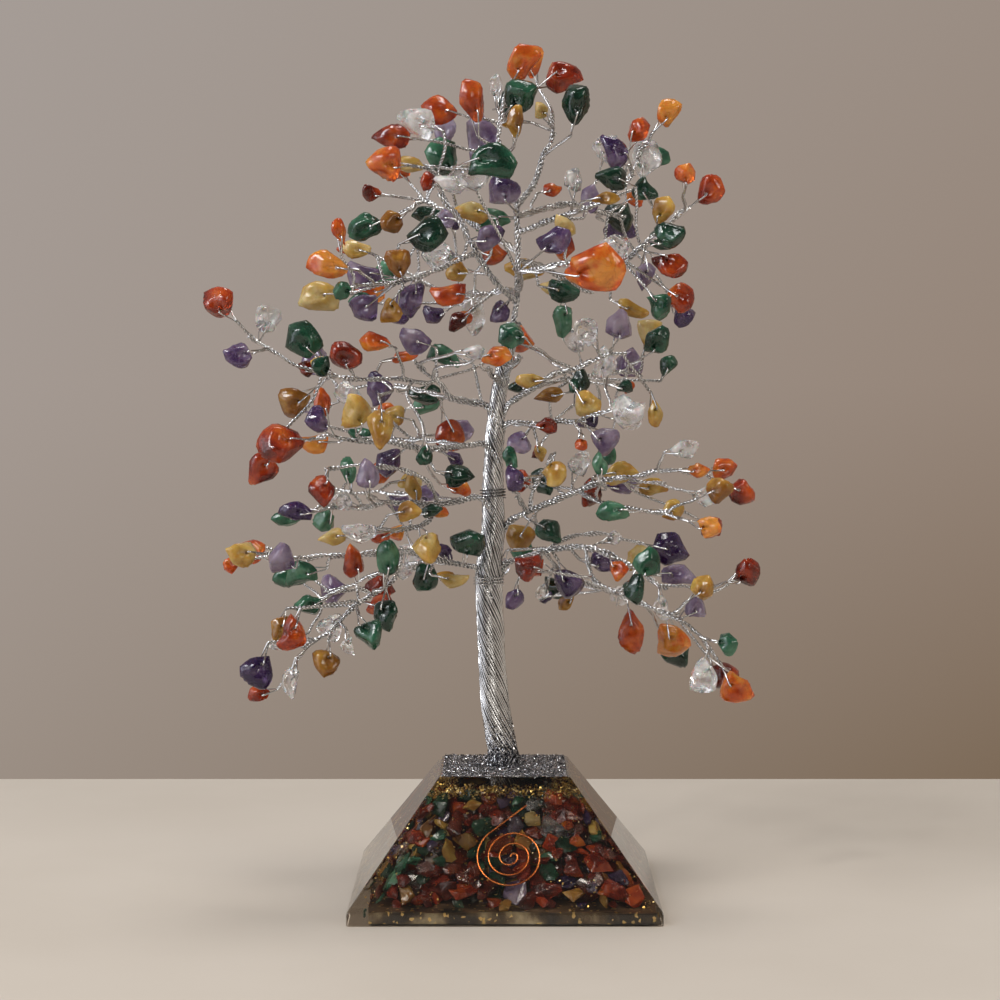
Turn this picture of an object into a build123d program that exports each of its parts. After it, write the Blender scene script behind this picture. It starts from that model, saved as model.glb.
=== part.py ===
"""Gemstone tree: drilled stones on twisted wire boughs, rising from a cast resin base."""

from build123d import *
import math
import os

import numpy as np

os.makedirs("parts", exist_ok=True)

# Driving sizes of the base, in millimetres
base_side = 96.0
base_top_side = 41.0
base_height = 41.0
lip_height = 4.0

# Driving sizes of the tree
tree_height = 270.0
view_distance = 984.0
view_height = 204.0
wire = 0.4
pair_gap = 0.12
twig_radius = wire + pair_gap
hole_radius = 0.45
stem_radius = 1.15
spray_radius = 0.8
least_stone = 4.6
stone_gap = 0.45
wire_gap = 0.3
seat_gap = 0.35
longest_twig = 34.0
twig_lead = 1.6
stone_size_share = 1.16

# Trunk: a strand in the middle and others round it, in three lengths
rim_strands = 6
trunk_depth_in_resin = 14.0
socket_gap = 0.6
lower_trunk_radius = 4.3
middle_trunk_radius = 3.5
upper_trunk_radius = 2.5
lay_pitch = 68.0
upper_lay_pitch = 46.0
strand_step = 6.0
length_gap = 0.8
collar_gap = 0.3

# Bindings: three turns of wire round the trunk
binding_turns = 3
binding_pitch = 0.95
binding_gap = 0.3
binding_drop = 2.2

# Pieces cast in the resin
resin_skin = 3.2
cast_length = 9.0
cast_width = 7.4
cast_thickness = 4.6
cast_row_pitch = 8.0
cast_column_pitch = 9.4
flake_length = 2.4
flake_width = 1.5
flake_thickness = 0.25
flake_depth = 1.5
flake_pitch = 3.4

# How the cast pieces lie: the room left at a face's corners as a share of a column, where the first
# row is as a share of a row, and each piece's turn, tilt, size and kind in its order
corner_share = 0.74
first_row_share = 0.6
TURN_DEGREES = (12, -22, 5, 24, -14, -4, 18)
SIZE_SHARES = (1.0, 0.88, 0.95, 0.8, 0.98, 0.84)
CAST_KINDS = "OOGOYOPOQOOGOPOYO"
FLAKE_ROW_SHARES = (0.86, 0.94)
FLAKE_TILTS = (20, -35, 10, 40, -15)
FLAKE_SHARES = ((-1, -0.5), (0.4, -1), (1, 0.3), (-0.3, 1))

# Copper wire cast behind the front face, wound flat, with a tail that leads up
spiral_depth = 1.2
spiral_wire = 0.6
spiral_width = 20.8
spiral_pitch = 3.4
spiral_half_turns = 6
spiral_tail_over = 4.8
spiral_tail_up = 17.5
spiral_up = 19.3
spiral_over = 2.0
spiral_gap = 0.05
gap_points = 481

# Glitter glued on the base
glitter_thickness = 0.5
glitter_margin = 0.8
glitter_chamfer = 0.2
collar_height = 9.0
collar_wall = 0.5
collar_foot_wall = 1.2

# The photograph's own measures, in its pixels
axis_px = 504.0
ground_px = 894.8
top_px = 47.0
pixel = tree_height / (ground_px - top_px)

KINDS = {"O": "carnelian", "R": "carnelian", "Y": "yellow_jasper", "G": "green_aventurine",
         "P": "amethyst", "Q": "clear_quartz"}

# Middle line of the trunk, in pixels, from the resin up to the node under the top boughs
lower_trunk_px = [(505, 765), (494.5, 707), (491.6, 663), (489.5, 619), (487.7, 572)]
middle_trunk_px = [(488, 564), (493, 526), (492, 484)]
upper_trunk_px = [(492, 475), (493.6, 440), (496, 400), (505, 355), (513, 320)]

# Stems of each bough: (x, y) in pixels and the depth behind the trunk as a share of the crown's depth.
# The first point of a stem is on the trunk or on a stem named before it.
crown_depth = 62.0
GIRTH_PX = (47, 150, 300, 480, 600, 700)
GIRTH_SHARES = (0.45, 0.8, 1.0, 1.0, 0.95, 0.85)
STEMS = {
    "lower_left": [
        [(488, 566, 0), (447, 561, -0.08), (404, 549, -0.2), (346, 554, -0.3), (304, 557, -0.34),
         (262, 548, -0.34)],
        [(404, 549, -0.2), (394, 580, -0.3), (352, 606, -0.36), (326, 634, -0.4), (294, 652, -0.4)],
        [(447, 561, -0.08), (425, 558, 0.1), (390, 565, 0.26), (350, 580, 0.4), (310, 602, 0.5)],
    ],
    "lower_right": [
        [(488, 566, 0), (543, 549, -0.08), (583, 544, -0.14), (614, 555, -0.2), (664, 586, -0.28),
         (719, 588, -0.3)],
        [(583, 544, -0.14), (592, 580, -0.32), (620, 594, -0.4), (673, 617, -0.46), (704, 638, -0.46),
         (717, 662, -0.46)],
        [(543, 549, -0.08), (572, 533, 0.08), (606, 530, 0.16), (650, 545, 0.22)],
        [(543, 549, -0.08), (560, 570, 0.14), (600, 585, 0.32), (645, 600, 0.46), (690, 620, 0.54)],
        [(543, 549, -0.08), (535, 562, -0.3), (530, 572, -0.46)],
    ],
    "mid_left": [
        [(492, 486, 0), (462, 499, -0.08), (427, 504, -0.2), (402, 500, -0.26), (370, 506, -0.34),
         (335, 508, -0.38),
         (305, 505, -0.38)],
        [(440, 502, -0.15), (425, 478, -0.32), (400, 468, -0.42), (365, 466, -0.5), (325, 468, -0.52),
         (285, 468, -0.5)],
        [(440, 502, -0.15), (425, 524, -0.28), (395, 530, -0.4), (362, 528, -0.46)],
        [(462, 499, -0.08), (442, 495, 0.2), (405, 490, 0.4), (365, 488, 0.54), (325, 485, 0.6)],
    ],
    "mid_right": [
        [(492, 524, 0), (526, 510, -0.07), (574, 490, -0.16), (601, 479, -0.24), (639, 473, -0.3),
         (670, 470, -0.34),
         (712, 472, -0.34)],
        [(526, 510, -0.07), (534, 482, -0.14), (553, 452, -0.22), (570, 428, -0.26)],
        [(574, 490, -0.16), (606, 504, -0.34), (642, 510, -0.42), (680, 514, -0.44)],
        [(526, 510, -0.07), (550, 500, 0.2), (590, 482, 0.4), (632, 474, 0.54), (675, 482, 0.6)],
        [(526, 510, -0.07), (518, 498, -0.3), (514, 490, -0.5)],
    ],
    "upper_left": [
        [(496, 402, 0), (454, 399, -0.1), (429, 373, -0.2), (400, 348, -0.3), (377, 326, -0.34),
         (343, 311, -0.34)],
        [(441, 386, -0.15), (400, 378, -0.3), (352, 380, -0.36), (318, 372, -0.38), (287, 360, -0.38),
         (264, 346, -0.38), (243, 330, -0.38)],
        [(494, 437, 0), (468, 444, -0.1), (429, 448, -0.24), (385, 442, -0.34), (333, 437, -0.4),
         (299, 440, -0.4)],
        [(454, 399, -0.1), (440, 392, 0.18), (405, 382, 0.4), (365, 380, 0.54), (325, 385, 0.6)],
        [(500, 380, 0), (492, 374, -0.26), (482, 366, -0.5)],
        [(468, 444, -0.1), (450, 440, 0.2), (415, 434, 0.42), (375, 436, 0.58)],
    ],
    "upper_right": [
        [(496, 407, 0), (530, 388, -0.12), (555, 371, -0.22), (587, 364, -0.3), (612, 352, -0.34),
         (636, 350, -0.36)],
        [(494, 418, 0), (536, 423, -0.14), (572, 420, -0.26), (606, 412, -0.34), (634, 398, -0.38)],
        [(530, 388, -0.12), (546, 380, 0.18), (582, 372, 0.4), (622, 366, 0.54), (655, 372, 0.58)],
        [(502, 368, 0), (514, 362, -0.26), (522, 356, -0.5)],
    ],
    "top": [
        [(512, 318, 0), (516, 300, -0.02), (517, 250, -0.04), (516, 198, -0.08), (504, 172, -0.1),
         (499, 148, -0.1),
         (499, 110, -0.08), (511, 88, -0.05)],
        [(516, 300, -0.02), (497, 285, -0.1), (475, 252, -0.16), (462, 224, -0.2), (443, 200, -0.22),
         (432, 176, -0.24),
         (420, 154, -0.24)],
        [(516, 205, -0.07), (535, 183, -0.03), (540, 160, 0), (552, 136, 0.03), (553, 104, 0.05)],
        [(517, 232, -0.05), (550, 220, -0.16), (582, 210, -0.24), (611, 198, -0.3), (629, 180, -0.34),
         (640, 140, -0.34)],
        [(517, 272, -0.03), (560, 264, -0.24), (600, 264, -0.36), (626, 260, -0.4), (650, 240, -0.4),
         (690, 206, -0.36)],
        [(475, 252, -0.16), (440, 270, -0.3), (400, 284, -0.42), (360, 288, -0.46), (328, 286, -0.46)],
        [(517, 250, -0.04), (500, 238, 0.22), (470, 218, 0.42), (440, 202, 0.54), (412, 190, 0.6)],
        [(516, 215, -0.06), (536, 208, 0.2), (566, 200, 0.42), (602, 206, 0.54), (632, 216, 0.6)],
        [(517, 290, -0.02), (520, 282, -0.26), (514, 270, -0.46)],
        [(517, 292, -0.02), (508, 286, 0.24), (480, 290, 0.44), (450, 300, 0.56)],
        [(517, 260, -0.04), (540, 262, 0.24), (575, 280, 0.42), (610, 296, 0.54)],
    ],
}

# Stones seen in the photograph: middle x, y, width and height in pixels, and the kind of stone
STONES = {
    "top": [
        (519, 65, 33, 36, "O"), (562, 75, 40, 34, "R"), (575, 106, 33, 46, "G"), (520, 100, 35, 35, "G"),
        (496, 85, 15, 31, "Q"), (472, 105, 24, 50, "O"), (440, 111, 31, 36, "R"), (416, 124, 41, 31, "Q"),
        (481, 137, 36, 54, "P"), (515, 125, 20, 30, "Y"), (539, 112, 16, 18, "Y"), (391, 139, 40, 25, "O"),
        (385, 167, 33, 31, "R"), (408, 166, 33, 15, "Y"), (443, 156, 38, 42, "G"), (491, 166, 57, 34, "G"),
        (502, 189, 38, 33, "P"), (371, 189, 17, 20, "O"), (364, 221, 33, 36, "G"), (392, 218, 26, 27, "Y"),
        (341, 235, 16, 29, "O"), (356, 251, 29, 19, "Y"), (427, 185, 19, 21, "R"), (427, 209, 40, 17, "G"),
        (446, 218, 20, 22, "P"), (429, 238, 44, 33, "G"), (439, 255, 29, 34, "Q"), (398, 265, 27, 29, "Y"),
        (457, 269, 25, 25, "Y"), (331, 271, 42, 25, "O"), (364, 277, 40, 25, "P"), (317, 297, 48, 29, "Y"),
        (344, 295, 20, 20, "G"), (365, 307, 27, 29, "P"), (410, 300, 27, 36, "P"), (448, 293, 44, 23, "O"),
        (392, 313, 22, 26, "Y"), (434, 310, 22, 22, "P"), (473, 308, 27, 42, "Q"), (452, 190, 35, 18, "Q"),
        (472, 209, 34, 21, "Y"), (493, 214, 38, 25, "G"), (491, 237, 32, 25, "P"), (552, 187, 20, 14, "O"),
        (571, 174, 21, 29, "Q"), (611, 154, 29, 36, "P"), (636, 131, 27, 29, "R"), (665, 116, 29, 26, "R"),
        (644, 160, 28, 40, "Q"), (609, 183, 33, 25, "G"), (589, 196, 21, 29, "P"), (642, 191, 23, 23, "G"),
        (681, 180, 22, 23, "R"), (707, 193, 33, 29, "O"), (619, 211, 36, 29, "G"), (604, 202, 28, 14, "Y"),
        (660, 212, 31, 25, "Y"), (667, 240, 31, 29, "G"), (562, 210, 40, 18, "P"), (562, 229, 25, 22, "Y"),
        (552, 245, 38, 31, "P"), (523, 264, 42, 21, "Y"), (592, 273, 77, 46, "O"), (613, 250, 34, 27, "Q"),
        (642, 277, 19, 29, "P"), (668, 267, 34, 29, "R"), (679, 299, 31, 29, "O"), (657, 306, 31, 25, "G"),
        (634, 304, 36, 16, "Y"), (563, 289, 36, 25, "G"), (563, 317, 25, 36, "G"), (497, 312, 20, 22, "P"),
        (456, 319, 18, 22, "R"),
    ],
    "upper_right": [
        (511, 339, 29, 31, "G"), (526, 361, 38, 19, "P"), (551, 358, 16, 25, "G"), (528, 380, 28, 16, "Y"),
        (547, 392, 31, 15, "Y"), (578, 381, 21, 29, "G"), (587, 404, 27, 27, "Y"), (618, 328, 29, 27, "P"),
        (629, 358, 31, 31, "P"), (656, 335, 29, 34, "G"), (668, 360, 16, 22, "G"), (656, 378, 38, 44, "O"),
        (625, 383, 16, 16, "G"), (627, 412, 42, 46, "Q"), (653, 413, 17, 27, "Y"), (585, 332, 30, 25, "Q"),
        (603, 361, 25, 35, "Q"), (547, 424, 23, 18, "R"), (604, 438, 29, 29, "P"), (580, 444, 14, 14, "O"),
        (518, 442, 26, 24, "P"), (540, 452, 16, 14, "Y"),
    ],
    "upper_left": [
        (496, 358, 30, 22, "O"), (484, 381, 44, 25, "G"), (473, 354, 24, 16, "Q"), (221, 305, 32, 32, "O"),
        (268, 319, 33, 30, "Q"), (241, 358, 29, 33, "P"), (308, 340, 38, 36, "G"), (344, 357, 33, 29, "O"),
        (306, 368, 20, 16, "O"), (323, 368, 24, 22, "G"), (375, 343, 29, 22, "R"), (412, 339, 34, 25, "P"),
        (398, 357, 14, 34, "Q"), (443, 354, 44, 21, "G"), (295, 400, 33, 34, "Y"), (320, 398, 19, 36, "O"),
        (345, 389, 30, 25, "Q"), (377, 384, 27, 34, "P"), (423, 389, 36, 23, "G"), (358, 412, 38, 32, "Y"),
        (320, 424, 25, 27, "P"), (392, 411, 28, 22, "Y"), (382, 430, 27, 36, "Y"), (358, 434, 22, 16, "G"),
        (449, 431, 31, 38, "R"), (279, 444, 46, 40, "R"), (314, 442, 33, 20, "R"), (262, 469, 36, 29, "O"),
        (388, 456, 31, 29, "P"), (425, 455, 17, 22, "G"), (456, 475, 29, 23, "G"), (455, 457, 18, 16, "P"),
    ],
    "mid_left": [
        (367, 474, 25, 33, "P"), (349, 469, 16, 28, "G"), (323, 492, 29, 31, "R"), (295, 511, 34, 21, "P"),
        (326, 519, 28, 24, "G"), (333, 537, 27, 17, "Y"), (394, 487, 22, 28, "Q"), (341, 500, 20, 24, "Q"),
        (368, 508, 24, 36, "Q"), (412, 484, 18, 28, "Y"), (427, 490, 22, 20, "P"), (409, 511, 28, 20, "Y"),
        (431, 509, 22, 16, "G"), (362, 531, 36, 22, "Q"), (380, 535, 16, 20, "R"), (426, 547, 34, 34, "Y"),
        (396, 532, 16, 16, "O"),
    ],
    "mid_right": [
        (514, 482, 24, 24, "P"), (511, 501, 20, 20, "G"), (509, 459, 16, 26, "G"), (553, 473, 33, 27, "Y"),
        (578, 462, 26, 22, "Q"), (598, 463, 16, 24, "G"), (620, 471, 36, 23, "Y"), (591, 488, 31, 29, "O"),
        (637, 495, 33, 42, "G"), (658, 491, 20, 32, "G"), (612, 511, 34, 21, "G"), (672, 509, 27, 22, "Y"),
        (707, 527, 25, 27, "R"), (696, 469, 24, 16, "R"), (723, 467, 29, 27, "R"), (716, 489, 28, 25, "Y"),
        (741, 491, 26, 26, "O"), (683, 448, 28, 22, "Q"), (519, 534, 31, 31, "Y"), (548, 530, 25, 27, "G"),
    ],
    "lower_left": [
        (241, 553, 31, 27, "Y"), (231, 563, 18, 18, "R"), (282, 560, 33, 31, "P"), (301, 571, 36, 24, "G"),
        (354, 561, 21, 36, "O"), (387, 557, 25, 45, "G"), (444, 548, 16, 16, "P"), (467, 541, 34, 36, "G"),
        (425, 576, 27, 30, "G"), (452, 578, 28, 15, "Y"), (404, 570, 16, 16, "Q"), (329, 588, 31, 33, "P"),
        (367, 592, 40, 31, "P"), (306, 602, 23, 28, "G"), (278, 628, 20, 30, "Y"), (292, 633, 25, 36, "O"),
        (331, 626, 24, 30, "Q"), (259, 669, 31, 40, "P"), (257, 693, 25, 18, "R"), (292, 683, 18, 35, "Q"),
        (327, 663, 28, 30, "Y"), (385, 614, 27, 36, "G"), (370, 633, 30, 35, "G"), (348, 645, 14, 20, "Q"),
    ],
    "lower_right": [
        (524, 568, 31, 29, "R"), (500, 566, 18, 26, "Q"), (545, 561, 16, 24, "P"), (569, 581, 31, 33, "P"),
        (566, 600, 20, 18, "Y"), (514, 597, 19, 24, "P"), (543, 589, 18, 16, "Q"), (604, 561, 34, 24, "P"),
        (618, 569, 22, 20, "O"), (646, 563, 34, 30, "G"), (677, 574, 38, 23, "P"), (670, 546, 36, 38, "P"),
        (743, 573, 27, 27, "O"), (702, 586, 27, 25, "Y"), (694, 607, 27, 23, "P"), (632, 589, 30, 28, "G"),
        (661, 608, 16, 30, "Q"), (632, 630, 31, 46, "O"), (675, 636, 36, 38, "O"), (724, 643, 23, 25, "G"),
        (703, 677, 31, 38, "Q"), (734, 685, 34, 33, "O"), (614, 536, 16, 16, "Q"),
    ],
}

# Stones behind those seen: every third stone has one behind it, of the next kind in this order
BEHIND_KINDS = "OGPYOQGOPG"
behind_step = 3
behind_size_share = 0.9
BEHIND_SHARES = (0.75, 0.5, 0.9, 0.62)
SHIFT_SHARES = ((0.3, -0.2), (-0.35, 0.1), (0.1, 0.35), (-0.2, -0.3))

# How far a stone lies before or behind its stem, as a share of stone_spread
stone_spread = 17.0
SPREAD_SHARES = (-0.5, 0.2, -0.95, -0.2, 0.5, -0.7, 0.05, -0.35, 0.35, -0.85)
depth_step = 2.6
depth_tries = 15
root_step = 3.4
root_tries = 12
facing_lead = 4.0

# Forms of a stone: outlines as shares of half its length and half its width, levels as shares of
# half its thickness with the outline's size and shift there
OUTLINE_SHARES = (
    ((-0.98, -0.1), (-0.6, -0.76), (0.3, -0.93), (0.95, -0.25), (0.64, 0.72), (-0.42, 0.86)),
    ((-0.95, 0.24), (-0.74, -0.6), (0.12, -0.96), (0.86, -0.46), (0.9, 0.36), (-0.04, 0.97)),
    ((-0.98, -0.06), (-0.5, -0.84), (0.52, -0.8), (0.97, 0.08), (0.36, 0.9), (-0.66, 0.7)),
    ((-0.92, -0.34), (-0.2, -0.95), (0.7, -0.66), (0.95, 0.2), (0.2, 0.94), (-0.8, 0.54)),
)
LEVEL_SHARES = (
    ((-1, 0.58, 0.05), (0.12, 1.0, 0.0), (1, 0.55, -0.04)),
    ((-1, 0.54, -0.05), (-0.15, 1.0, 0.0), (1, 0.6, 0.04)),
    ((-1, 0.62, 0.0), (0.2, 1.0, 0.0), (1, 0.54, -0.05)),
)
TILT_SHARES = ((0.3, 0.25), (-0.35, 0.1), (0.1, -0.35), (-0.2, -0.25), (0.4, -0.05))
thickness_share = 0.56
hole_share = 0.3
loop_share = 0.27
long_share = 1.25
lean_share = 0.45
flat_share = 0.35
corner_lean_share = 0.7
least_slant_share = 0.5
least_forward_share = 0.35
sliver = 1e-9

# Strand of the trunk as a share of the bundle's radius
strand_share = 0.31

# The two lower boughs bend down at the trunk
bend_angle = 12.0
BEND_SHARES = (0.0, 0.5, 1.0)
bend_px = (0.0, 562.0)


def place(x_px, y_px, depth=0.0):
    """Where a point of the photograph lies, at a depth behind the trunk."""
    reach = 1 + depth / view_distance
    x = (x_px - axis_px) * pixel * reach
    z = view_height + ((ground_px - y_px) * pixel - view_height) * reach
    return np.array((x, depth, z))


def depth_at(share, y_px):
    """Depth in the crown, which is narrower at its top and foot."""
    return crown_depth * share * float(np.interp(y_px, GIRTH_PX, GIRTH_SHARES))


def unit(vector):
    """The same direction, one long."""
    return vector / np.linalg.norm(vector)


def across(vector, axis):
    """What is left of a vector, made square to an axis and one long."""
    return unit(vector - axis * vector.dot(axis))


def skin(rings):
    """Closed solid with flat faces through rings of corners, one ring after another."""
    rings = [[Vector(*corner) for corner in ring] for ring in rings]
    faces = [Face(Wire.make_polygon(rings[0])), Face(Wire.make_polygon(rings[-1]))]
    for low, high in zip(rings, rings[1:]):
        for k in range(len(low)):
            after = (k + 1) % len(low)
            faces.append(Face(Wire.make_polygon([low[k], low[after], high[after], high[k]])))
    return Solid(Shell(faces))


def tube(points, sides, half, side=np.array((0.0, 1.0, 0.0))):
    """Flat-sided tube along straight runs, mitred at each corner; half is from its middle to a flat."""
    runs = [unit(b - a) for a, b in zip(points, points[1:])]
    first = across(side, runs[0])
    second = np.cross(runs[0], first)
    corner = half / math.cos(math.pi / sides)
    angles = [2 * math.pi * (k + 0.5) / sides for k in range(sides)]
    rings = [[points[0] + corner * (math.cos(a) * first + math.sin(a) * second) for a in angles]]
    for k in range(1, len(points)):
        run = runs[k - 1]
        mitre = run + runs[k] if k < len(runs) else run
        rings.append([c + run * ((points[k] - c).dot(mitre) / run.dot(mitre)) for c in rings[-1]])
    return skin(rings)


def save(name, solids):
    """Write one node: a single piece, or a group of separate pieces of one kind."""
    node = Compound(children=list(solids))
    node.label = name
    export_step(node, f"parts/{name}.step")


# Trunk: its middle line bends, so each level has its own middle

trunk_line = [place(*point) for point in lower_trunk_px + middle_trunk_px + upper_trunk_px]
trunk_line[0][2] = base_height
trunk_line.insert(0, trunk_line[0] - np.array((0, 0, trunk_depth_in_resin)))
trunk_levels = [point[2] for point in trunk_line]
lower_end = place(*lower_trunk_px[-1])[2]
middle_end = place(*middle_trunk_px[-1])[2]
upper_end = place(*upper_trunk_px[-1])[2]


def trunk_middle(level):
    """Middle of the trunk at a level."""
    return np.array((np.interp(level, trunk_levels, [point[0] for point in trunk_line]), 0.0, level))


def bundle(bottom, top, radius, pitch):
    """Strands of one length of trunk: one in the middle, the others laid round it left-handed."""
    strand = radius * strand_share
    steps = math.ceil((top - bottom) / strand_step)
    levels = [bottom + (top - bottom) * k / steps for k in range(steps + 1)]
    half = strand * math.cos(math.pi / 6)
    strands = [tube([trunk_middle(level) for level in levels], 6, half)]
    for k in range(rim_strands):
        turns = [2 * math.pi * (k / rim_strands - (level - trunk_levels[0]) / pitch) for level in levels]
        rim = [np.array((math.cos(turn), math.sin(turn), 0)) * (radius - strand) for turn in turns]
        strands.append(tube([trunk_middle(level) + out for level, out in zip(levels, rim)], 6, half))
    return strands


def biarc(start, end, start_run, end_run):
    """The joint of two tangent arcs between two points with given directions."""
    gap = end - start
    spread = 2 * (1 - start_run.dot(end_run))
    lean = gap.dot(start_run + end_run)
    reach = (math.sqrt(lean ** 2 + spread * gap.dot(gap)) - lean) / spread
    return (start + end + reach * (start_run - end_run)) / 2


def least_gap(line, thickness):
    """Least gap of a wound wire to itself, measured on points that lie half a turn apart or more."""
    points = np.array([tuple(line @ share) for share in np.linspace(0, 1, gap_points)])
    runs = np.diff(points, axis=0)
    runs /= np.linalg.norm(runs, axis=1)[:, None]
    bends = np.arccos(np.clip((runs[1:] * runs[:-1]).sum(axis=1), -1, 1))
    turned = np.concatenate(((0, 0), np.cumsum(bends)))
    apart = np.linalg.norm(points[:, None] - points, axis=2)
    far = np.abs(turned[:, None] - turned) >= math.pi
    return round(float(apart[far].min()) - thickness, 2)


def binding(level, radius):
    """Wire wound round the trunk in a short open coil, one unbroken tube."""
    middle = trunk_middle(level)
    ring = radius + binding_gap + wire / 2
    climb = binding_pitch / (2 * math.pi)
    quarters = [math.pi / 2 * k for k in range(4 * binding_turns + 1)]
    bottom = level - binding_turns * binding_pitch / 2
    spots = [np.array((middle[0] + ring * math.cos(a), ring * math.sin(a), bottom + climb * a))
             for a in quarters]
    runs = [unit(np.array((-ring * math.sin(a), ring * math.cos(a), climb))) for a in quarters]
    with BuildPart() as coil:
        with BuildLine() as route:
            for k in range(len(quarters) - 1):
                joint = biarc(spots[k], spots[k + 1], runs[k], runs[k + 1])
                TangentArc(Vector(*spots[k]), Vector(*joint), tangent=Vector(*runs[k]))
                TangentArc(Vector(*spots[k + 1]), Vector(*joint), tangent=Vector(*-runs[k + 1]))
        with BuildSketch(Plane(origin=Vector(*spots[0]), z_dir=Vector(*runs[0]))):
            Circle(wire / 2)
        sweep(path=route.wires()[0])
    print("least gap of a binding's wire to itself", least_gap(route.wires()[0], wire))
    return coil.part


# Room taken up in the crown, as rods with round ends


class Room:
    """Rods already placed, each with the body that it moves with."""

    def __init__(self):
        self.starts = np.empty((0, 3))
        self.ends = np.empty((0, 3))
        self.radii = np.empty(0)
        self.bodies = np.empty(0, dtype=int)
        self.swept = np.empty(0, dtype=bool)

    def fill(self, start, end, radius, body):
        """Take up room; a rod on a bending bough takes it up all along its way."""
        for k, (a, b) in enumerate(poses(start, end, body)):
            self.starts = np.vstack((self.starts, a))
            self.ends = np.vstack((self.ends, b))
            self.radii = np.append(self.radii, radius)
            self.bodies = np.append(self.bodies, body)
            self.swept = np.append(self.swept, k > 0)

    def clears(self, start, end, radius, gap, body):
        """Whether a rod stays clear of all others, in every pose of its body."""
        own = self.bodies == body
        for k, (a, b) in enumerate(poses(start, end, body)):
            met = ~own if k else ~(own & self.swept)
            apart = distances(a, b, self.starts[met], self.ends[met]) - self.radii[met]
            if len(apart) and apart.min() < radius + gap:
                return False
        return True


def distances(start, end, starts, ends):
    """Least distance from one straight line to each of many."""
    run = end - start + sliver
    runs = ends - starts + sliver
    apart = start - starts
    own = run.dot(run)
    others = (runs * runs).sum(axis=1)
    both = runs @ run
    along = apart @ run
    beside = (runs * apart).sum(axis=1)
    share = np.clip((both * beside - along * others) / np.maximum(own * others - both ** 2, sliver), 0, 1)
    other = np.clip((both * share + beside) / others, 0, 1)
    share = np.clip((both * other - along) / own, 0, 1)
    return np.linalg.norm(apart + share[:, None] * run - other[:, None] * runs, axis=1)


def poses(start, end, body):
    """A rod where its body rests and, on a bending bough, at the other ends of its range."""
    if body == 0:
        return [(start, end)]
    turned = []
    for share in BEND_SHARES:
        angle = math.radians(bend_angle * share) * body
        cos, sin = math.cos(angle), math.sin(angle)
        hinge = bends[body]
        pair = []
        for point in (start, end):
            x, z = point[0] - hinge[0], point[2] - hinge[2]
            pair.append(np.array((hinge[0] + x * cos + z * sin, point[1], hinge[2] - x * sin + z * cos)))
        turned.append(tuple(pair))
    return turned


# Bodies: the two lower boughs bend, one to each side, and all else is one body
bend_level = place(*bend_px)[2]
bend_reach = middle_trunk_radius + seat_gap
bends = {side: trunk_middle(bend_level) + np.array((side * bend_reach, 0, 0)) for side in (-1, 1)}
BODIES = {"lower_left": -1, "lower_right": 1}
print("bends at", {side: [round(float(v), 3) for v in point] for side, point in bends.items()})


def grow(stems, start_px, rest_px, radius, body, trunk_end):
    """Middle line of one stem, seated on the stem or trunk nearest to its first point."""
    points = [place(x, y, depth_at(share, y)) for x, y, share in [start_px] + rest_px]
    best = None
    for a, b, parent_radius in stems:
        run = b - a
        share = min(max((points[0] - a).dot(run) / run.dot(run), 0), 1)
        spot = a + share * run
        apart = np.linalg.norm(points[0] - spot)
        if best is None or apart < best[0]:
            best = (apart, spot, unit(run), parent_radius)
    _, spot, parent_run, parent_radius = best
    parent_radius = parent_radius or trunk_radius_at(spot[2])
    run = unit(points[1] - spot)
    slant = math.sqrt(1 - min(run.dot(parent_run) ** 2, 1))
    onward = trunk_end is not None and np.linalg.norm(spot - trunk_end) < radius
    if onward:
        lead = seat_gap + binding_pitch
    else:
        lean = radius * corner_lean_share * math.sqrt(1 - slant ** 2)
        lead = (parent_radius + seat_gap + lean) / max(slant, least_slant_share)
    return [spot + run * lead] + points[1:]


def nearest_roots(roots, centre):
    """The roots nearest to a stone, sooner those whose stem leads towards it."""

    def effort(root):
        way = centre - root[0]
        return np.linalg.norm(way) - facing_lead * root[1].dot(unit(way))

    return sorted(roots, key=effort)[:root_tries]


def lay_stone(spot_px, size_px, depth, kind, index, roots, room, body):
    """Find room for one stone and its wire near a depth; None if there is none."""
    for attempt in range(depth_tries):
        shift = depth_step * ((attempt + 1) // 2) * (-1 if attempt % 2 else 1)
        centre = place(*spot_px, depth + shift)
        reach = pixel * stone_size_share * (1 + (depth + shift) / view_distance)
        wide, high = (max(size * reach, least_stone) for size in size_px)
        length, width = max(wide, high), min(wide, high)
        if not room.clears(centre, centre, width / 2, stone_gap, body):
            continue
        flat = wide > long_share * high
        upright = high > long_share * wide
        for root in nearest_roots(roots, centre):
            found = hang(centre, length, width, flat, upright, root, index, room, body)
            if found:
                return dict(found, kind=kind, index=index)
    return None


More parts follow.
